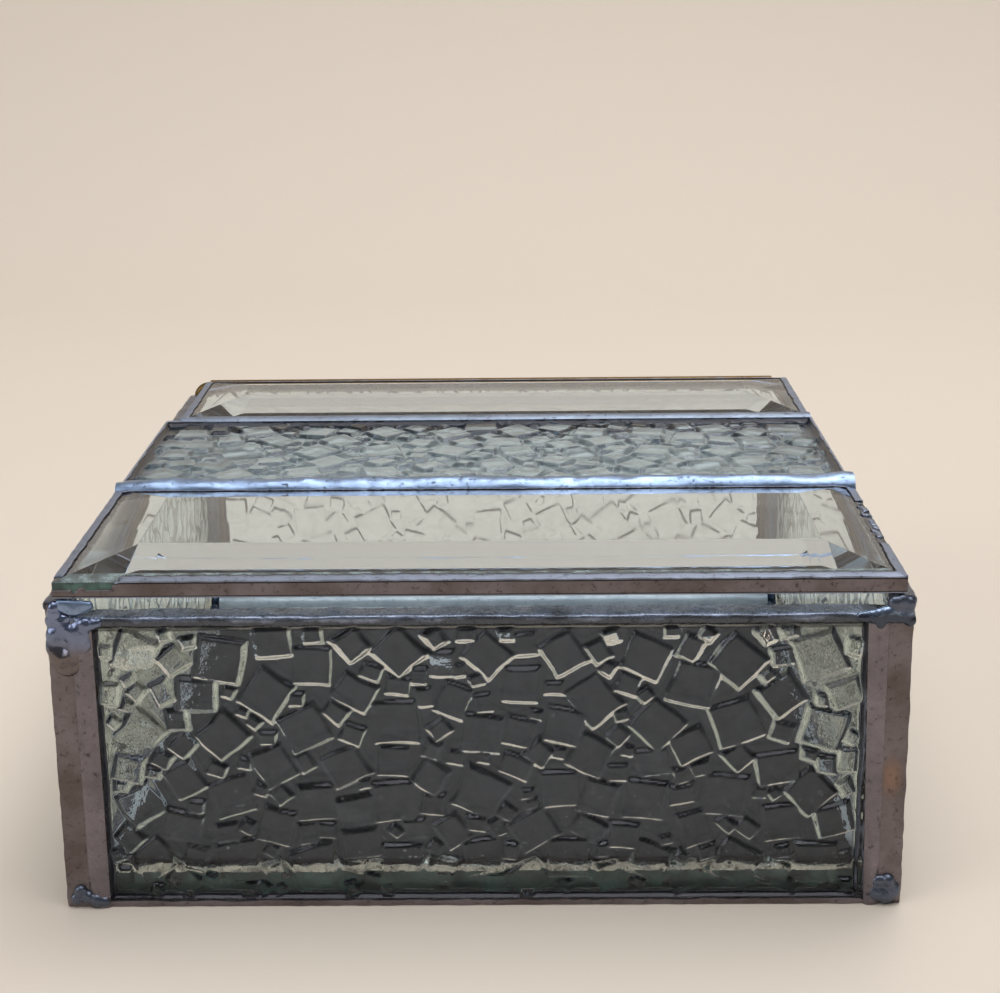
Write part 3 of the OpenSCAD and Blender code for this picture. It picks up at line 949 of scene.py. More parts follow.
class GLASSBOX_OT_lid_strip(BoxOperator, bpy.types.Operator):
    """The rolled glass strip in the middle of the lid"""

    bl_idname = "glassbox.lid_strip"
    bl_label = "Lid strip"

    def execute(self, context):
        size = sizes()
        rolled_panel(
            "lid_centre_glass",
            "lid_centre_panel",
            Z_AXIS,
            glass_rolled("blue rolled glass", colours().strip_glass, roughness=0.2),
            LID_BODY,
            (size.end_lap, size.end_lap, size.seam_lap, size.rear_seam_lap),
            size.wall_cell,
            size.seed + 9,
        )
        return {"FINISHED"}


def bevel_levels(node):
    """Height of a bevelled strip's edge and width of its sloping faces, read from its node."""
    low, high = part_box(node)
    verts = [vert.co for vert in frame["nodes"][node].data.vertices]
    heights = sorted({round((co.z - low.z) / MM, 2) for co in verts})
    top = [co.x for co in verts if high.z - co.z < 0.01 * MM]
    return heights[1] * MM, min(top) - low.x


def bevelled_strip(name, node, ground=0.0):
    """A strip with four ground and polished margins around a raised middle. ground is how far from
    its front edge the front margin gets a partly matt green band, painted light that stands in for
    the lit rim seen through the glass."""
    low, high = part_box(node)
    edge, face = bevel_levels(node)
    bm = bmesh.new()
    bmesh.ops.create_cube(bm, size=1)
    size = Vector((high.x - low.x, high.y - low.y, edge))
    bmesh.ops.scale(bm, vec=size, verts=bm.verts)
    bmesh.ops.translate(bm, vec=low + size / 2, verts=bm.verts)
    top = [f for f in bm.faces if f.normal.z > 0.9]
    steps = (0, ground, face) if ground else (0, face)
    for near, far in zip(steps, steps[1:]):
        bmesh.ops.inset_region(bm, faces=top, thickness=far - near, use_even_offset=True)
        rise = (high.z - low.z - edge) * (far - near) / face
        bmesh.ops.translate(bm, vec=(0, 0, rise), verts=list(top[0].verts))
    bmesh.ops.bevel(
        bm,
        geom=[edge for edge in bm.edges if edge.calc_face_angle() > 0.02],
        offset=0.12 * MM,
        offset_type="OFFSET",
        affect="EDGES",
        segments=2,
        profile=0.5,
        material=-1,
    )
    bm.normal_update()
    cut = bm.faces.layers.float.new(CUT_EDGE)
    for side in bm.faces:
        side[cut] = float(abs(side.normal.z) < 0.3)
        reach = side.calc_center_median().y - low.y
        # Painted light: a partly matt green band near the front edge stands in for the lit rim seen
        # through the facet
        if side.normal.y < -0.05 and side.normal.z > 0.5 and reach < ground:
            side[cut] = 0.6
    return finish_piece(
        bm,
        name,
        glass_polished("bevelled float glass", colours().plate_glass, colours().ground_edge),
        LID_BODY,
        [node],
        smooth=False,
    )


class GLASSBOX_OT_lid_bevels(BoxOperator, bpy.types.Operator):
    """The two bevelled glass strips of the lid"""

    bl_idname = "glassbox.lid_bevels"
    bl_label = "Lid bevels"

    def execute(self, context):
        bevelled_strip("lid_front_bevel_glass", "lid_front_bevel", ground=3.0 * MM)
        bevelled_strip("lid_rear_bevel_glass", "lid_rear_bevel")
        return {"FINISHED"}


def soft_slab(node, rounding, wander, seed, cuts):
    """A plate with eased edges and a slightly uneven top, in place of a box-shaped node."""
    low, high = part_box(node)
    bm = bmesh.new()
    bmesh.ops.create_cube(bm, size=1)
    bmesh.ops.scale(bm, vec=high - low, verts=bm.verts)
    bmesh.ops.translate(bm, vec=(low + high) / 2, verts=bm.verts)
    bmesh.ops.bevel(
        bm,
        geom=list(bm.edges),
        offset=rounding,
        offset_type="OFFSET",
        affect="EDGES",
        segments=3,
        profile=0.5,
        material=-1,
    )
    long_edges = [e for e in bm.edges if e.calc_length() > 0.5 * (high.x - low.x)]
    bmesh.ops.subdivide_edges(bm, edges=long_edges, cuts=cuts, use_grid_fill=True)
    for vert in bm.verts:
        if vert.co.z > high.z - 0.05 * MM:
            vert.co.z -= wander * (0.5 + 0.5 * ripple(vert.co, 12 * MM, seed))
    smooth_faces(bm)
    return bm


class GLASSBOX_OT_base(BoxOperator, bpy.types.Operator):
    """The base plate and its felt liner"""

    bl_idname = "glassbox.base"
    bl_label = "Base"

    def execute(self, context):
        glass = glass_polished("green-edged float glass", colours().base_glass, colours().base_edge)
        bm = soft_slab("base_plate", rounding=0.2 * MM, wander=0, seed=1, cuts=8)
        cut = bm.faces.layers.float.new(CUT_EDGE)
        bm.normal_update()
        for face in bm.faces:
            face[cut] = float(abs(face.normal.z) < 0.3)
        finish_piece(bm, "base_glass", glass, BOX_BODY, ["base_plate"], crisp=GLASS_ANGLE)
        bm = soft_slab("base_liner", rounding=0.35 * MM, wander=0.15 * MM, seed=2, cuts=60)
        finish_piece(bm, "felt_liner", felt_charcoal(), BOX_BODY, ["base_liner"])
        return {"FINISHED"}


class GLASSBOX_OT_wall_foil(BoxOperator, bpy.types.Operator):
    """Copper foil folded round the four walls and the base"""

    bl_idname = "glassbox.wall_foil"
    bl_label = "Wall foil"

    def execute(self, context):
        size = sizes()
        for number, (side, outward) in enumerate(WALLS):
            panel = GlassPanel(*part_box(f"{side}_panel"), outward)
            narrow, inner = (0.6, INNER_LAP) if side == "front" else (1.0, NARROW_LAP)
            bm = foil_frame(
                panel,
                wall_laps(),
                0.8 * MM,
                size.seed + 20 + number,
                tinned_inside,
                foil_rows(2, inner),
                narrow=narrow,
            )
            finish_foil(bm, f"{side}_wall_foil", foil_aged(), BOX_BODY, f"{side}_foil", size.foil_skin)
        low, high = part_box("base_plate")
        liner_low, liner_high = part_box("base_liner")
        side = liner_low.x - low.x
        laps = (side, side, liner_low.y - low.y, high.y - liner_high.y)
        panel = GlassPanel(low, high, Z_AXIS)

        def torn(s, t, h):
            in_front = t < 0.1 * MM and h > -0.8 * panel.depth
            return in_front and ripple(Vector((s, t, h)), 3 * MM, 9) > -0.4

        bm = foil_frame(panel, laps, 0.9 * MM, size.seed + 30, tinned_all, foil_rows(8), torn=torn)
        skin = min(size.foil_skin, low.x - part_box("base_foil")[0].x)
        finish_foil(bm, "base_edge_foil", flooded_solder(), BOX_BODY, "base_foil", skin)
        return {"FINISHED"}


def strip_panel(node):
    """The panel of a bevelled strip, up to the height of its edge, and the bevel's slope."""
    low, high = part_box(node)
    edge, face = bevel_levels(node)
    slope = (high.z - low.z - edge) / face
    high.z = low.z + edge
    return GlassPanel(low, high, Z_AXIS), slope


def front_foil_torn(panel):
    """Where the front strip's foil is gone: at the left of its front edge and on its right side."""
    lap = sizes().lid_lap
    bare = 11.5 * MM
    torn_from, torn_to = 17 * MM, 43 * MM

    def torn(s, t, h):
        rag = ripple(Vector((s, t, h)), 1.6 * MM, 4)
        at_corner = s + rag * 1.2 * MM < bare and h > (-0.55 + 0.2 * rag) * panel.depth
        if at_corner and t < 1.2 * lap + rag * 0.5 * MM and t < 7 * MM:
            return True
        if s < bare and 0.3 * MM < min(s, t) and t < 9 * MM and h < -0.9 * panel.depth:
            return True
        on_right = s > panel.width - 2.5 * MM and torn_from < t < torn_to
        return on_right and h > -0.45 * panel.depth and rag > -0.12

    return torn


class GLASSBOX_OT_lid_foil(BoxOperator, bpy.types.Operator):
    """Copper foil folded round the three strips of the lid"""

    bl_idname = "glassbox.lid_foil"
    bl_label = "Lid foil"

    def execute(self, context):
        size = sizes()
        front, slope = strip_panel("lid_front_bevel")
        rear, _ = strip_panel("lid_rear_bevel")
        centre = GlassPanel(*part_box("lid_centre_panel"), Z_AXIS)
        lap, end, seam, rear_seam = size.lid_lap, size.end_lap, size.seam_lap, size.rear_seam_lap
        strips = (
            ("front", front, (lap, lap, lap, seam + size.seam_hem), slope, front_foil_torn(front)),
            ("centre", centre, (end, end, seam, rear_seam), 0, None),
            ("rear", rear, (lap, lap, rear_seam, lap), slope, None),
        )
        for number, (name, panel, laps, rise, torn) in enumerate(strips):
            seed = size.seed + 40 + number
            bm = foil_frame(panel, laps, 0.6 * MM, seed, tinned_faces, foil_rows(6), rise, torn)
            node = f"lid_{name}_foil"
            finish_foil(bm, f"lid_{name}_edge_foil", foil_aged(), LID_BODY, node, size.foil_skin)
        return {"FINISHED"}


class GLASSBOX_OT_corner_seams(BoxOperator, bpy.types.Operator):
    """The four upright solder seams"""

    bl_idname = "glassbox.corner_seams"
    bl_label = "Corner seams"

    def execute(self, context):
        amount = sizes().lump
        for front in (True, False):
            for side in (-1, 1):
                name = f"{'front' if front else 'rear'}_{'left' if side < 0 else 'right'}"
                self.corner(name, -1 if front else 1, side, amount)
        return {"FINISHED"}

    @staticmethod
    def corner(name, depth_sign, side, amount):
        """A bead down the outside of a corner, and the fillet inside it."""
        node = f"corner_seam_{name}"
        low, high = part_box(node)
        front = depth_sign < 0
        foil_low, foil_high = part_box("front_foil" if front else "rear_foil")
        face_y, back_y = (foil_low.y, foil_high.y) if front else (foil_high.y, foil_low.y)
        proud = face_y - low.y if front else high.y - face_y
        outward = Y_AXIS * depth_sign
        run = Z_AXIS * (high.z - low.z)
        steps = round(run.length / (0.5 * MM))
        width = high.x - low.x
        start = Vector(((low.x + high.x) / 2, face_y, low.z))
        bm = bmesh.new()
        bead(bm, start, run, X_AXIS, outward, width * 0.94, proud * (0.6 if front else 0.75), steps)
        if front and side > 0:
            # The right front seam gets narrower towards its foot
            for vert in bm.verts:
                vert.co.x += (high.x - vert.co.x) * 0.3 * (1 - vert.co.z / high.z)

        def outer(place):
            return clamp(abs(place.y - face_y) / proud)

        lump(bm, amount, 5 * MM, side + depth_sign, outer, (1, 1, 2))
        # The joint between the walls and the fillet inside the corner
        inner_y = face_y - outward.y * (high.y - low.y - proud)
        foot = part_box("base_liner")[0].z
        corner_x = low.x if side < 0 else high.x
        reach = abs(inner_y - back_y)
        corner = Vector((corner_x, back_y, foot))
        inwards = -X_AXIS * side
        turns = quarter_turn(6)
        outline = [
            corner + inwards * reach * math.sin(a) - outward * reach * math.cos(a) for a in turns
        ]
        outline += [corner + inwards * reach - outward * -0.3 * MM, corner + outward * 0.3 * MM]
        sweep(bm, outline, Z_AXIS * (high.z - foot), steps)
        smooth_faces(bm)
        metal = brown_solder() if front else bright_solder()
        finish_piece(bm, f"{name}_corner_solder", metal, BOX_BODY, [node], crisp=CRISP_ANGLE)


class GLASSBOX_OT_base_seams(BoxOperator, bpy.types.Operator):
    """The solder fillets between the base and the walls"""

    bl_idname = "glassbox.base_seams"
    bl_label = "Base seams"

    def execute(self, context):
        for name, outward in WALLS:
            self.fillet(name, -outward)
        return {"FINISHED"}

    @staticmethod
    def fillet(name, inward):
        """A hollow round along the inside of a wall, over the joint between wall and base."""
        node = f"base_seam_{name}"
        low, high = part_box(node)
        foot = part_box("base_liner")[0].z
        radius = high.z - foot
        along = X_AXIS if inward.y else Y_AXIS
        span = (high - low).dot(along)
        start = Vector((low.x, low.y, foot))
        if inward.x + inward.y < 0:
            start = Vector((high.x, high.y, foot)) - along * span
        turns = quarter_turn(7)
        round_back = [
            start + (inward * math.sin(a) + Z_AXIS * math.cos(a)) * radius * 0.98 for a in turns
        ]
        joint = (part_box("base_foil")[0].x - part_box("left_foil")[1].x) * 0.95
        steps = round(span / (0.8 * MM))
        floor = start - Z_AXIS * foot
        bm = bmesh.new()
        if name == "front":
            # The solder hasn't run down into this joint, so the green edge of the base shows, and
            # it has run unevenly
            sweep(bm, round_back + [start], along * span, steps)
            plug = (0, 0), (joint, 0), (joint, 1 * MM), (0, 1 * MM)
            sweep(bm, [floor + inward * y + Z_AXIS * z for y, z in plug], along * span, 40)
            for vert in bm.verts:
                if vert.co.z > foot:
                    uneven = 0.8 + 0.9 * ripple(Vector((vert.co.x, 0, 0)), 5 * MM, 17)
                    vert.co.z = foot + (vert.co.z - foot) * max(0.25, uneven)
        else:
            filled = [start + inward * joint, start + inward * joint - Z_AXIS * foot, floor]
            sweep(bm, round_back + filled, along * span, steps)

        shoulder = foot + 0.3 * MM

        def inside(place):
            return clamp((place.z - shoulder) / radius)

        amount, size = (2.2, 2.0 * MM) if name == "front" else (0.9, 4 * MM)
        lump(bm, sizes().lump * amount, size, len(name), inside)
        smooth_faces(bm)
        metal = {"front": foot_solder, "rear": flooded_solder}.get(name, dull_solder)()
        finish_piece(bm, f"{name}_base_solder", metal, BOX_BODY, [node], crisp=CRISP_ANGLE)


class GLASSBOX_OT_rims(BoxOperator, bpy.types.Operator):
    """The solder caps on the rims of the walls"""

    bl_idname = "glassbox.rims"
    bl_label = "Rim beads"

    def execute(self, context):
        for name, outward in WALLS:
            self.rim(name, outward)
        return {"FINISHED"}

    @staticmethod
    def rim(name, outward):
        """A rounded cap that straddles the top of a wall."""
        node = f"rim_bead_{name}"
        low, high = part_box(node)
        foil_low, foil_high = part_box(f"{name}_foil")
        along = X_AXIS if outward.y else Y_AXIS
        span = (high - low).dot(along)
        middle = (low + high) / 2
        wall = abs((foil_high - foil_low).dot(outward))
        proud = (abs((high - low).dot(outward)) - wall) / 2
        top = high.z - foil_high.z
        drop = high.z - low.z
        start = middle - along * span / 2
        start.z = high.z
        half = wall / 2 + proud
        notch = wall / 2 - 0.05 * MM
        # Across and down from the top of the cap: a rounded back, then the notch for the wall
        turns = quarter_turn(5)
        soft = min(1.0 * MM, drop * 0.48)
        right = [(half - soft + soft * math.sin(a), -soft + soft * math.cos(a)) for a in turns]
        small = soft * 0.5
        right += [
            (half - small + small * math.cos(a), -drop + small - small * math.sin(a))
            for a in turns[1:4]
        ]
        right += [(notch, -drop), (notch, -top - 0.05 * MM)]
        section = right + [(-a, b) for a, b in reversed(right)]
        outline = [start + outward * a + Z_AXIS * b for a, b in section]
        bm = bmesh.new()
        sweep(bm, outline, along * span, round(span / (0.6 * MM)))
        hidden = notch + 0.02 * MM

        def outer(place):
            beside = abs((place - middle).dot(outward)) > hidden
            return 1.0 if beside or place.z > high.z - top / 2 else 0.0

        drawn = (2.2, 1, 1) if outward.y else (1, 2.2, 1)
        lump(bm, sizes().lump * 1.5, 3 * MM, 3 + len(name), outer, drawn)
        for vert in bm.verts:
            vert.co.z = min(vert.co.z, high.z)
        smooth_faces(bm)
        metal = rim_solder() if name == "front" else dull_solder()
        finish_piece(bm, f"{name}_rim_solder", metal, BOX_BODY, [node], crisp=CRISP_ANGLE)


class GLASSBOX_OT_lid_seams(BoxOperator, bpy.types.Operator):
    """The raised solder seams of the lid"""

    bl_idname = "glassbox.lid_seams"
    bl_label = "Lid seams"

    def execute(self, context):
        for number, name in enumerate(("front", "rear")):
            self.seam(name, number)
        return {"FINISHED"}

    @staticmethod
    def seam(name, number):
        """A bead over the joint of two strips, the joint itself, and a low bead below it."""
        node = f"lid_{name}_seam"
        low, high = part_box(node)
        foil_low, foil_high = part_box("lid_centre_foil")
        middle_y = (low.y + high.y) / 2
        width = high.y - low.y
        tall = high.z - foil_high.z
        bm = bmesh.new()
        start = Vector((low.x, middle_y, foil_high.z))
        span = high.x - low.x
        front = name == "front"
        # The front seam is fuller and lumpier than the rear one
        wide, high_up, amount = (1.12, 1.05, 1.9) if front else (0.9, 0.7, 0.4)
        run = X_AXIS * span
        bead(bm, start, run, -Y_AXIS, Z_AXIS, width * wide, tall * high_up, 400, sink=0.35 * MM)
        # The seam starts thin at its left end and stops in a lump at its right end
        for vert in bm.verts:
            thin = max(0.0, 1 - (vert.co.x - low.x) / (9 * MM))
            thick = max(0.0, 1 - (high.x - vert.co.x) / (8 * MM))
            swell = 1 - 0.35 * thin * thin + (0.18 * math.sqrt(thick) if front else 0)
            vert.co.y = middle_y + (vert.co.y - middle_y) * swell
            vert.co.z = foil_high.z + (vert.co.z - foil_high.z) * swell

        def upper(place):
            end = min(place.x - low.x, high.x - place.x) / (1.5 * MM)
            return clamp((place.z - foil_high.z) / tall * 1.4) * clamp(end)

        lump(bm, sizes().lump * amount, 2.8 * MM, 12 + number, upper, (2.4, 1, 1))
        # The filled joint and the low bead underneath, clear of the side rims
        joint = Vector((low.x, middle_y, foil_low.z + 0.02 * MM))
        half = 0.34 * MM
        deep = foil_high.z - foil_low.z
        section = ((-half, 0), (half, 0), (half, deep), (-half, deep))
        sweep(bm, [joint + Y_AXIS * a + Z_AXIS * b for a, b in section], run, 60)
        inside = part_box("rim_bead_right")[0].x - 0.5 * MM
        under = Vector((-inside, middle_y, foil_low.z))
        below = (foil_low.z - low.z) * 0.9
        bead(bm, under, X_AXIS * 2 * inside, Y_AXIS, -Z_AXIS, width * 0.85, below, 120)
        smooth_faces(bm)
        metal = bright_solder() if front else cloudy_solder()
        finish_piece(bm, f"lid_{name}_solder", metal, LID_BODY, [node], crisp=CRISP_ANGLE)


def solder_drops(name, drops, metal, nodes, face_y, hollows, deepest):
    """Drops of solder run together on a face and knitted into a smooth lump that stands no more
    than deepest off it. A drop is its middle and its radius, a hollow its middle, size and depth."""
    bm = bmesh.new()
    for place, radius in drops:
        deep = min(0.85, deepest / radius)
        spot = Vector((place.x, face_y + 0.1 * MM, place.z))
        matrix = Matrix.Translation(spot) @ Matrix.Diagonal((1, deep, 1.05, 1))
        bmesh.ops.create_icosphere(bm, subdivisions=4, radius=radius, matrix=matrix)
    for vert in bm.verts:
        if vert.co.y < face_y:
            flat = Vector((vert.co.x, 0, vert.co.z))
            vert.co.y += 0.3 * deepest * ripple(flat, 2.1 * MM, 21)
            for place, size, depth in hollows:
                vert.co.y += depth * math.exp(-(flat - place).length_squared / (size * size))
        vert.co.y = min(vert.co.y, face_y + 0.3 * MM)
    piece = finish_piece(bm, name, metal, BOX_BODY, nodes)
    knit = piece.modifiers.new("knit", "REMESH")
    knit.mode = "VOXEL"
    knit.voxel_size = 0.18 * MM
    knit.use_smooth_shade = True
    ease = piece.modifiers.new("ease", "SMOOTH")
    ease.iterations = 12


# Drops of surplus solder, each its distance outwards from the inner face of the side wall, its
# height and its radius, all in millimetres
BLOB = (
    (1.6, 56.0, 2.8), (0.8, 54.6, 3.5), (1.5, 53.0, 3.5), (1.1, 51.2, 3.4), (0.2, 52.2, 3.2),
    (2.4, 54.6, 2.4), (2.4, 52.0, 2.3), (1.0, 49.4, 2.5), (-0.6, 55.4, 2.8), (-1.0, 53.4, 2.6),
    (-2.6, 56.7, 1.5), (-3.8, 57.0, 1.2), (-5.0, 57.2, 0.9), (3.0, 57.6, 1.7), (2.9, 59.0, 1.4),
    (2.8, 60.2, 1.2),
)
# The dents in the blob: the place as above, size and depth
BLOB_HOLLOWS = (
    (1.9, 52.9, 1.5, 1.2), (-0.2, 57.4, 0.9, 0.8), (-1.2, 51.4, 1.1, 0.5), (3.4, 56.9, 0.9, 0.5),
)
LEFT_WEB = (
    (1.6, 60.5, 1.2), (0.7, 60.3, 1.35), (-0.2, 60.1, 1.5), (-1.1, 60.1, 1.5), (-2.0, 60.2, 1.35),
    (-2.9, 60.4, 1.1), (-3.6, 60.6, 0.8),
)
RIGHT_LUMP = (
    (-5.2, 57.5, 0.9), (-4.2, 57.5, 1.1), (-3.2, 57.5, 1.3), (-2.0, 57.6, 1.5), (-0.8, 57.8, 1.7),
    (0.5, 58.0, 1.8), (1.8, 58.1, 1.9), (3.0, 57.8, 1.7), (3.6, 56.9, 1.3), (-1.6, 56.2, 1.1),
)
# The end of the side wall, above the front rim, under a skin of dark solder
RIGHT_CAP = ((0.9, 60.0, 1.5), (2.3, 60.2, 1.5), (3.4, 60.0, 1.3), (1.6, 59.0, 1.5), (3.0, 59.0, 1.5))
LEFT_FOOT = ((0.6, 2.2, 1.3), (1.8, 3.4, 1.3), (2.6, 1.9, 1.2), (-1.2, 1.5, 1.4), (-2.6, 1.3, 1.1))
RIGHT_FOOT = ((0.2, 2.6, 2.0), (1.6, 2.2, 2.1), (2.6, 3.0, 1.7), (0.2, 4.6, 1.4), (1.8, 4.8, 1.5))


class GLASSBOX_OT_blob(BoxOperator, bpy.types.Operator):
    """The surplus solder on the front corners"""

    bl_idname = "glassbox.blob"
    bl_label = "Corner drops"

    def execute(self, context):
        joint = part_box("rim_bead_front")[1].x
        face_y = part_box("front_foil")[0].y
        # Each run's name, side of the box, drops, metal, nodes and hollows, and in millimetres how
        # far it stands off the face
        runs = (
            ("corner_blob_solder", -1, BLOB, blob_solder(), ["solder_blob"], BLOB_HOLLOWS, 1.15),
            ("corner_web_solder", -1, LEFT_WEB, bright_solder(), [], (), 0.7),
            ("corner_lump_solder", 1, RIGHT_LUMP, lump_solder(), [], (), 1.15),
            ("corner_cap_solder", 1, RIGHT_CAP, dull_solder(), [], (), 1.15),
            ("left_foot_solder", -1, LEFT_FOOT, dull_solder(), [], (), 1.15),
            ("right_foot_solder", 1, RIGHT_FOOT, dull_solder(), [], (), 1.15),
        )
        for name, side, drops, metal, nodes, hollows, deepest in runs:
            placed = [(Vector((side * (joint + x * MM), 0, z * MM)), r * MM) for x, z, r in drops]
            dents = [
                (Vector((side * (joint + x * MM), 0, z * MM)), size * MM, depth * MM)
                for x, z, size, depth in hollows
            ]
            solder_drops(name, placed, metal, nodes, face_y, dents, deepest * MM)
        return {"FINISHED"}


class GLASSBOX_OT_hinge(BoxOperator, bpy.types.Operator):
    """The hinge tube, its rod, and the solder that holds them"""

    bl_idname = "glassbox.hinge"
    bl_label = "Hinge"

    def execute(self, context):
        self.rod()
        self.tube()
        self.tube_solder()
        for side, name in ((-1, "left"), (1, "right")):
            self.leg_solder(side, name)
        return {"FINISHED"}

    @staticmethod
    def rod():
        """The brass rod, bent down at both ends into legs."""
        low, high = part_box("hinge_rod")
        axis = Vector(frame["joints"][0]["pos_m"])
        radius = (high.y - low.y) / 2
        leg_x = high.x - radius
        bend = 3 * MM
        bm = bmesh.new()
        foot = Matrix.Translation((-leg_x, axis.y, low.z))
        ring = bmesh.ops.create_circle(bm, segments=20, radius=radius, cap_ends=False, matrix=foot)
        part = ring["verts"] + list(bm.edges)
        bmesh.ops.contextual_create(bm, geom=[g for g in part if isinstance(g, bmesh.types.BMEdge)])
        part = [g for g in part if g.is_valid]

        def carry(geom, **turn):
            made = bmesh.ops.spin(bm, geom=geom, use_duplicate=False, **turn)
            return [g for g in made["geom_last"] if not isinstance(g, bmesh.types.BMFace)]

        rise = axis.z - bend - low.z
        straight = {"cent": (0, 0, 0), "axis": (0, 1, 0), "angle": 0}
        # Up one leg, round a bend and across, then round the other bend and down
        part = carry(part, dvec=Vector((0, 0, rise / 6)), steps=6, **straight)
        centre = Vector((-leg_x + bend, axis.y, axis.z - bend))
        quarter = {"axis": (0, 1, 0), "angle": math.pi / 2, "dvec": (0, 0, 0), "steps": 8}
        part = carry(part, cent=centre, **quarter)
        run = 2 * (leg_x - bend)
        part = carry(part, dvec=Vector((run / 12, 0, 0)), steps=12, **straight)
        part = carry(part, cent=Vector((leg_x - bend, axis.y, axis.z - bend)), **quarter)
        part = carry(part, dvec=Vector((0, 0, -rise / 6)), steps=6, **straight)
        ends = [g for g in part if isinstance(g, bmesh.types.BMEdge)]
        bmesh.ops.contextual_create(bm, geom=ends)
        bmesh.ops.recalc_face_normals(bm, faces=bm.faces)
        smooth_faces(bm)
        brass = brass_tarnished()
        finish_piece(
            bm, "hinge_rod_brass", brass, BOX_BODY, ["hinge_rod"], crisp=CRISP_ANGLE
        )

    @staticmethod
    def tube():
        """The brass tube that turns on the rod."""
        low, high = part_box("hinge_tube")
        rod_low, rod_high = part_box("hinge_rod")
        outer = (high.z - low.z) / 2
        inner = (rod_high.y - rod_low.y) / 2 + 0.05 * MM
        middle = (low + high) / 2
        turn = Matrix.Translation(middle) @ Matrix.Rotation(math.pi / 2, 4, "Y")
        span = high.x - low.x
        bm = bmesh.new()
        for radius in (outer, inner):
            bmesh.ops.create_cone(
                bm, segments=32, radius1=radius, radius2=radius, depth=span, cap_ends=False, matrix=turn
            )
        ends = [edge for edge in bm.edges if edge.is_boundary]
        for side in (-1, 1):
            pair = [e for e in ends if (e.verts[0].co.x - middle.x) * side > 0]
            bmesh.ops.bridge_loops(bm, edges=pair)
        bmesh.ops.recalc_face_normals(bm, faces=bm.faces)
        smooth_faces(bm)
        brass = brass_tarnished()
        finish_piece(
            bm, "hinge_tube_brass", brass, LID_BODY, ["hinge_tube"], crisp=CRISP_ANGLE
        )

    @staticmethod
    def tube_solder():
        """The solder between the tube and the rear edge of the lid."""
        low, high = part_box("hinge_tube_seam")
        tube_low, tube_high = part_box("hinge_tube")
        radius = (tube_high.z - tube_low.z) / 2
        centre = Vector((0, (tube_low.y + tube_high.y) / 2, (tube_low.z + tube_high.z) / 2))
        bm = bmesh.new()
        reach = centre.y - low.y
        tall = (high.z - low.z) / 2
        turns = [math.radians(25 + 130 * i / 8) for i in range(9)]
        sunk = radius - 0.03 * MM
        hollow = [(max(-math.sin(a) * sunk, -reach + 0.08 * MM), math.cos(a) * sunk) for a in turns]
        section = [(-reach, tall), (hollow[0][0], min(tall, hollow[0][1]))] + hollow[1:-1]
        section += [(hollow[-1][0], max(-tall, hollow[-1][1])), (-reach, -tall)]
        outline = [centre + Y_AXIS * y + Z_AXIS * z + X_AXIS * low.x for y, z in section]
        sweep(bm, outline, X_AXIS * (high.x - low.x), 180)

        def top(place):
            clear = place.y > low.y + 0.1 * MM
            return 1.0 if clear and abs(place.z - centre.z) > tall * 0.9 else 0.0

        lump(bm, sizes().lump * 0.4, 4 * MM, 31, top)
        smooth_faces(bm)
        metal, node = dull_solder(), "hinge_tube_seam"
        finish_piece(bm, "hinge_tube_solder", metal, LID_BODY, [node], crisp=CRISP_ANGLE)

    @staticmethod
    def leg_solder(side, name):
        """A long drop of solder that holds a leg of the rod to the rear wall."""
        node = f"hinge_solder_{name}"
        low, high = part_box(node)
        axis = Vector(frame["joints"][0]["pos_m"])
        radius = (high.x - low.x) / 2
        middle = Vector(((low.x + high.x) / 2, axis.y, (low.z + high.z) / 2))
        bm = bmesh.new()
        tall = (high.z - low.z) / 2
        matrix = Matrix.Translation(middle) @ Matrix.Diagonal((1, 1, tall / radius, 1))
        bmesh.ops.create_uvsphere(bm, u_segments=28, v_segments=28, radius=radius, matrix=matrix)
        # Its sides run nearly straight, and it closes only towards its ends
        for vert in bm.verts:
            height = abs(vert.co.z - middle.z) / tall
            swell = math.sqrt(max(0.0, 1 - height**6)) / max(0.15, math.sqrt(max(0.0, 1 - height**2)))
            flat = vert.co - Vector((middle.x, middle.y, vert.co.z))
            vert.co += flat * (swell * 0.93 - 1)
        lump(bm, sizes().lump * 0.6, 3 * MM, 50 + side)
        for vert in bm.verts:
            vert.co.y = min(max(vert.co.y, low.y), high.y)
            vert.co.x = min(max(vert.co.x, low.x), high.x)
        smooth_faces(bm)
        finish_piece(bm, f"hinge_leg_{name}_solder", dull_solder(), BOX_BODY, [node])


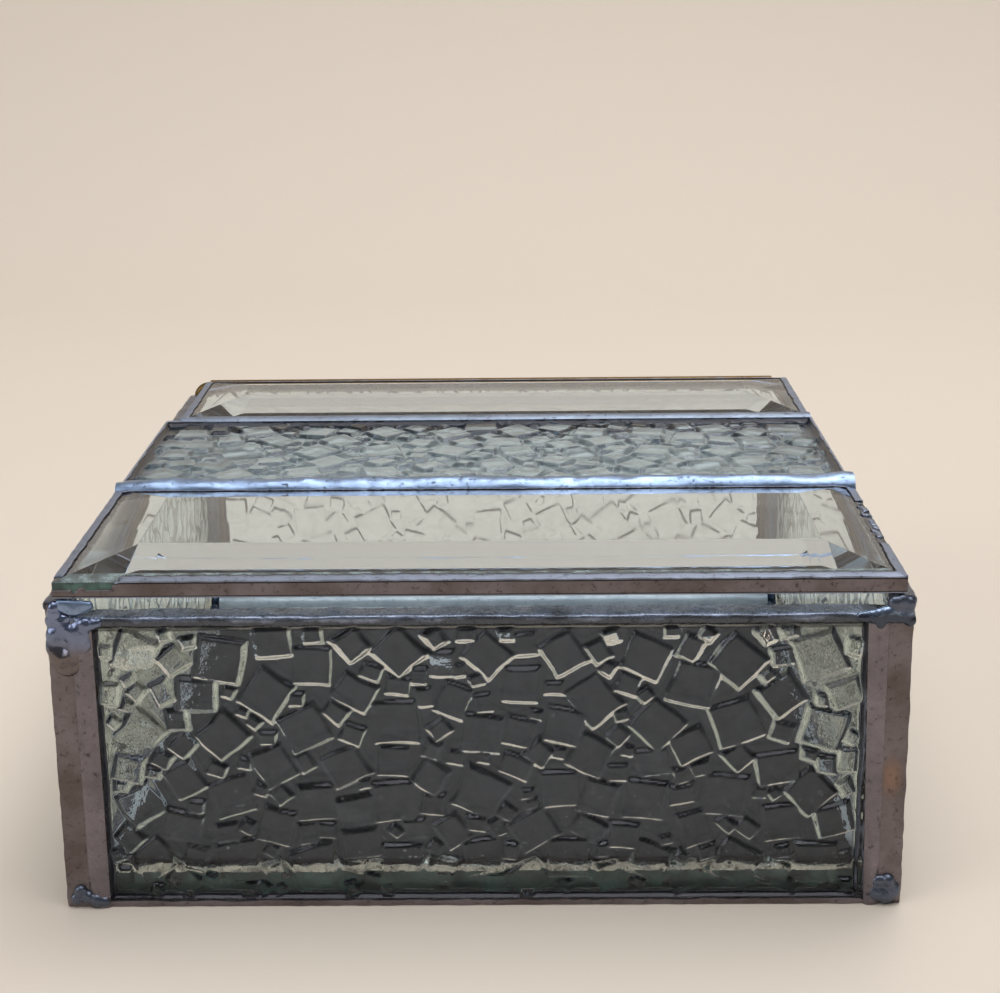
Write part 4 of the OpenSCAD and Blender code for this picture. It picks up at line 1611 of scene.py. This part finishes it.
class GLASSBOX_OT_stage(BoxOperator, bpy.types.Operator):
    """The floor and backdrop, the lamps and the camera"""

    bl_idname = "glassbox.stage"
    bl_label = "Stage"

    def execute(self, context):
        self.floor()
        self.lamps()
        self.camera()
        return {"FINISHED"}

    @staticmethod
    def floor():
        """A floor that sweeps up into a backdrop behind the box."""
        # In metres: half the width, the front edge, where the bend begins, its radius and the
        # height of the backdrop
        half, front, bend_at, radius, tall = 1.6, -1.4, 0.5, 0.25, 1.0
        bm = bmesh.new()
        outline = [bm.verts.new((-half, front, 0)), bm.verts.new((-half, bend_at, 0))]
        bm.edges.new(outline)
        bmesh.ops.spin(
            bm,
            geom=[outline[1]],
            cent=(0, bend_at, radius),
            axis=(1, 0, 0),
            dvec=(0, 0, 0),
            angle=math.pi / 2,
            steps=24,
            use_duplicate=False,
        )
        bm.verts.ensure_lookup_table()
        top = max(bm.verts, key=lambda vert: (vert.co.z, vert.co.y))
        bm.edges.new((top, bm.verts.new(top.co + Vector((0, 0, tall)))))
        bmesh.ops.spin(
            bm,
            geom=list(bm.verts) + list(bm.edges),
            cent=(0, 0, 0),
            axis=(0, 0, 1),
            dvec=(2 * half, 0, 0),
            angle=0,
            steps=1,
            use_duplicate=False,
        )
        smooth_faces(bm)
        mesh = bpy.data.meshes.new("floor")
        bm.to_mesh(mesh)
        bm.free()
        mesh.materials.append(floor_plain())
        floor = bpy.data.objects.new("floor", mesh)
        bpy.context.scene.collection.objects.link(floor)

    @staticmethod
    def lamps():
        """Soft boxes: one over the box, one to the left, one behind for the glass."""
        boxes = (
            ("over", (0.1, -0.2, 1.3), 1.2, 13),
            ("left", (-1.2, -0.7, 0.7), 0.9, 5.5),
            ("behind", (0.3, 0.35, 1.2), 0.7, 5),
        )
        middle = Vector((0, 0, 0.04))
        for name, place, side, power in boxes:
            lamp = bpy.data.lights.new(name, "AREA")
            lamp.shape = "SQUARE"
            lamp.size = side
            lamp.energy = power
            holder = bpy.data.objects.new(f"lamp_{name}", lamp)
            holder.location = place
            holder.rotation_euler = (middle - Vector(place)).to_track_quat("-Z", "Y").to_euler()
            bpy.context.scene.collection.objects.link(holder)
        world = bpy.data.worlds.new("soft room")
        world.use_nodes = True
        back = world.node_tree.nodes["Background"]
        back.inputs["Color"].default_value = rgba(linear("#F2F4F8"))
        back.inputs["Strength"].default_value = 0.2
        bpy.context.scene.world = world

    @staticmethod
    def camera():
        """The camera, at the height and distance from which the box is seen."""
        yaw, pitch, roll = CAMERA_TURN
        forward = Vector(
            (math.sin(yaw) * math.cos(pitch), math.cos(yaw) * math.cos(pitch), -math.sin(pitch))
        )
        level = Vector((math.cos(yaw), -math.sin(yaw), 0))
        upright = level.cross(forward)
        right = level * math.cos(roll) + upright * math.sin(roll)
        up = -level * math.sin(roll) + upright * math.cos(roll)
        data = bpy.data.cameras.new("camera")
        data.sensor_width = 36
        data.lens = data.sensor_width * FOCAL_PIXELS / IMAGE_WIDTH
        data.shift_y = (PRINCIPAL_ROW - MIDDLE_ROW) / IMAGE_WIDTH
        data.clip_start = 0.01
        camera = bpy.data.objects.new("camera", data)
        camera.matrix_world = (
            Matrix.Translation(CAMERA_PLACE) @ Matrix((right, up, -forward)).transposed().to_4x4()
        )
        bpy.context.scene.collection.objects.link(camera)
        bpy.context.scene.camera = camera
        bpy.context.scene.view_settings.view_transform = "Standard"
        # Light is reflected up to eight times inside a bevelled strip before it comes out
        bpy.context.scene.cycles.glossy_bounces = 12


OPERATORS = (
    GLASSBOX_OT_stage,
    GLASSBOX_OT_walls,
    GLASSBOX_OT_lid_strip,
    GLASSBOX_OT_lid_bevels,
    GLASSBOX_OT_base,
    GLASSBOX_OT_wall_foil,
    GLASSBOX_OT_lid_foil,
    GLASSBOX_OT_corner_seams,
    GLASSBOX_OT_base_seams,
    GLASSBOX_OT_rims,
    GLASSBOX_OT_lid_seams,
    GLASSBOX_OT_blob,
    GLASSBOX_OT_hinge,
)


class GLASSBOX_PT_panel(bpy.types.Panel):
    """Lists the sizes, the colours and the pieces"""

    bl_idname = "GLASSBOX_PT_panel"
    bl_label = "Glass box"
    bl_space_type = "VIEW_3D"
    bl_region_type = "UI"
    bl_category = "Glass box"

    def draw(self, context):
        column = self.layout.column()
        for group in (sizes(), colours()):
            for name in group.__annotations__:
                column.prop(group, name)
        for operator in OPERATORS:
            column.operator(operator.bl_idname)


CLASSES = (GlassBoxSizes, GlassBoxColours, *OPERATORS, GLASSBOX_PT_panel)


def register():
    for cls in CLASSES:
        bpy.utils.register_class(cls)
    bpy.types.Scene.glass_box_sizes = PointerProperty(type=GlassBoxSizes)
    bpy.types.Scene.glass_box_colours = PointerProperty(type=GlassBoxColours)


def unregister():
    del bpy.types.Scene.glass_box_colours
    del bpy.types.Scene.glass_box_sizes
    for cls in reversed(CLASSES):
        bpy.utils.unregister_class(cls)


def main():
    register()
    for operator in OPERATORS:
        group, name = operator.bl_idname.split(".")
        getattr(getattr(bpy.ops, group), name)()


if __name__ == "__main__":
    main()
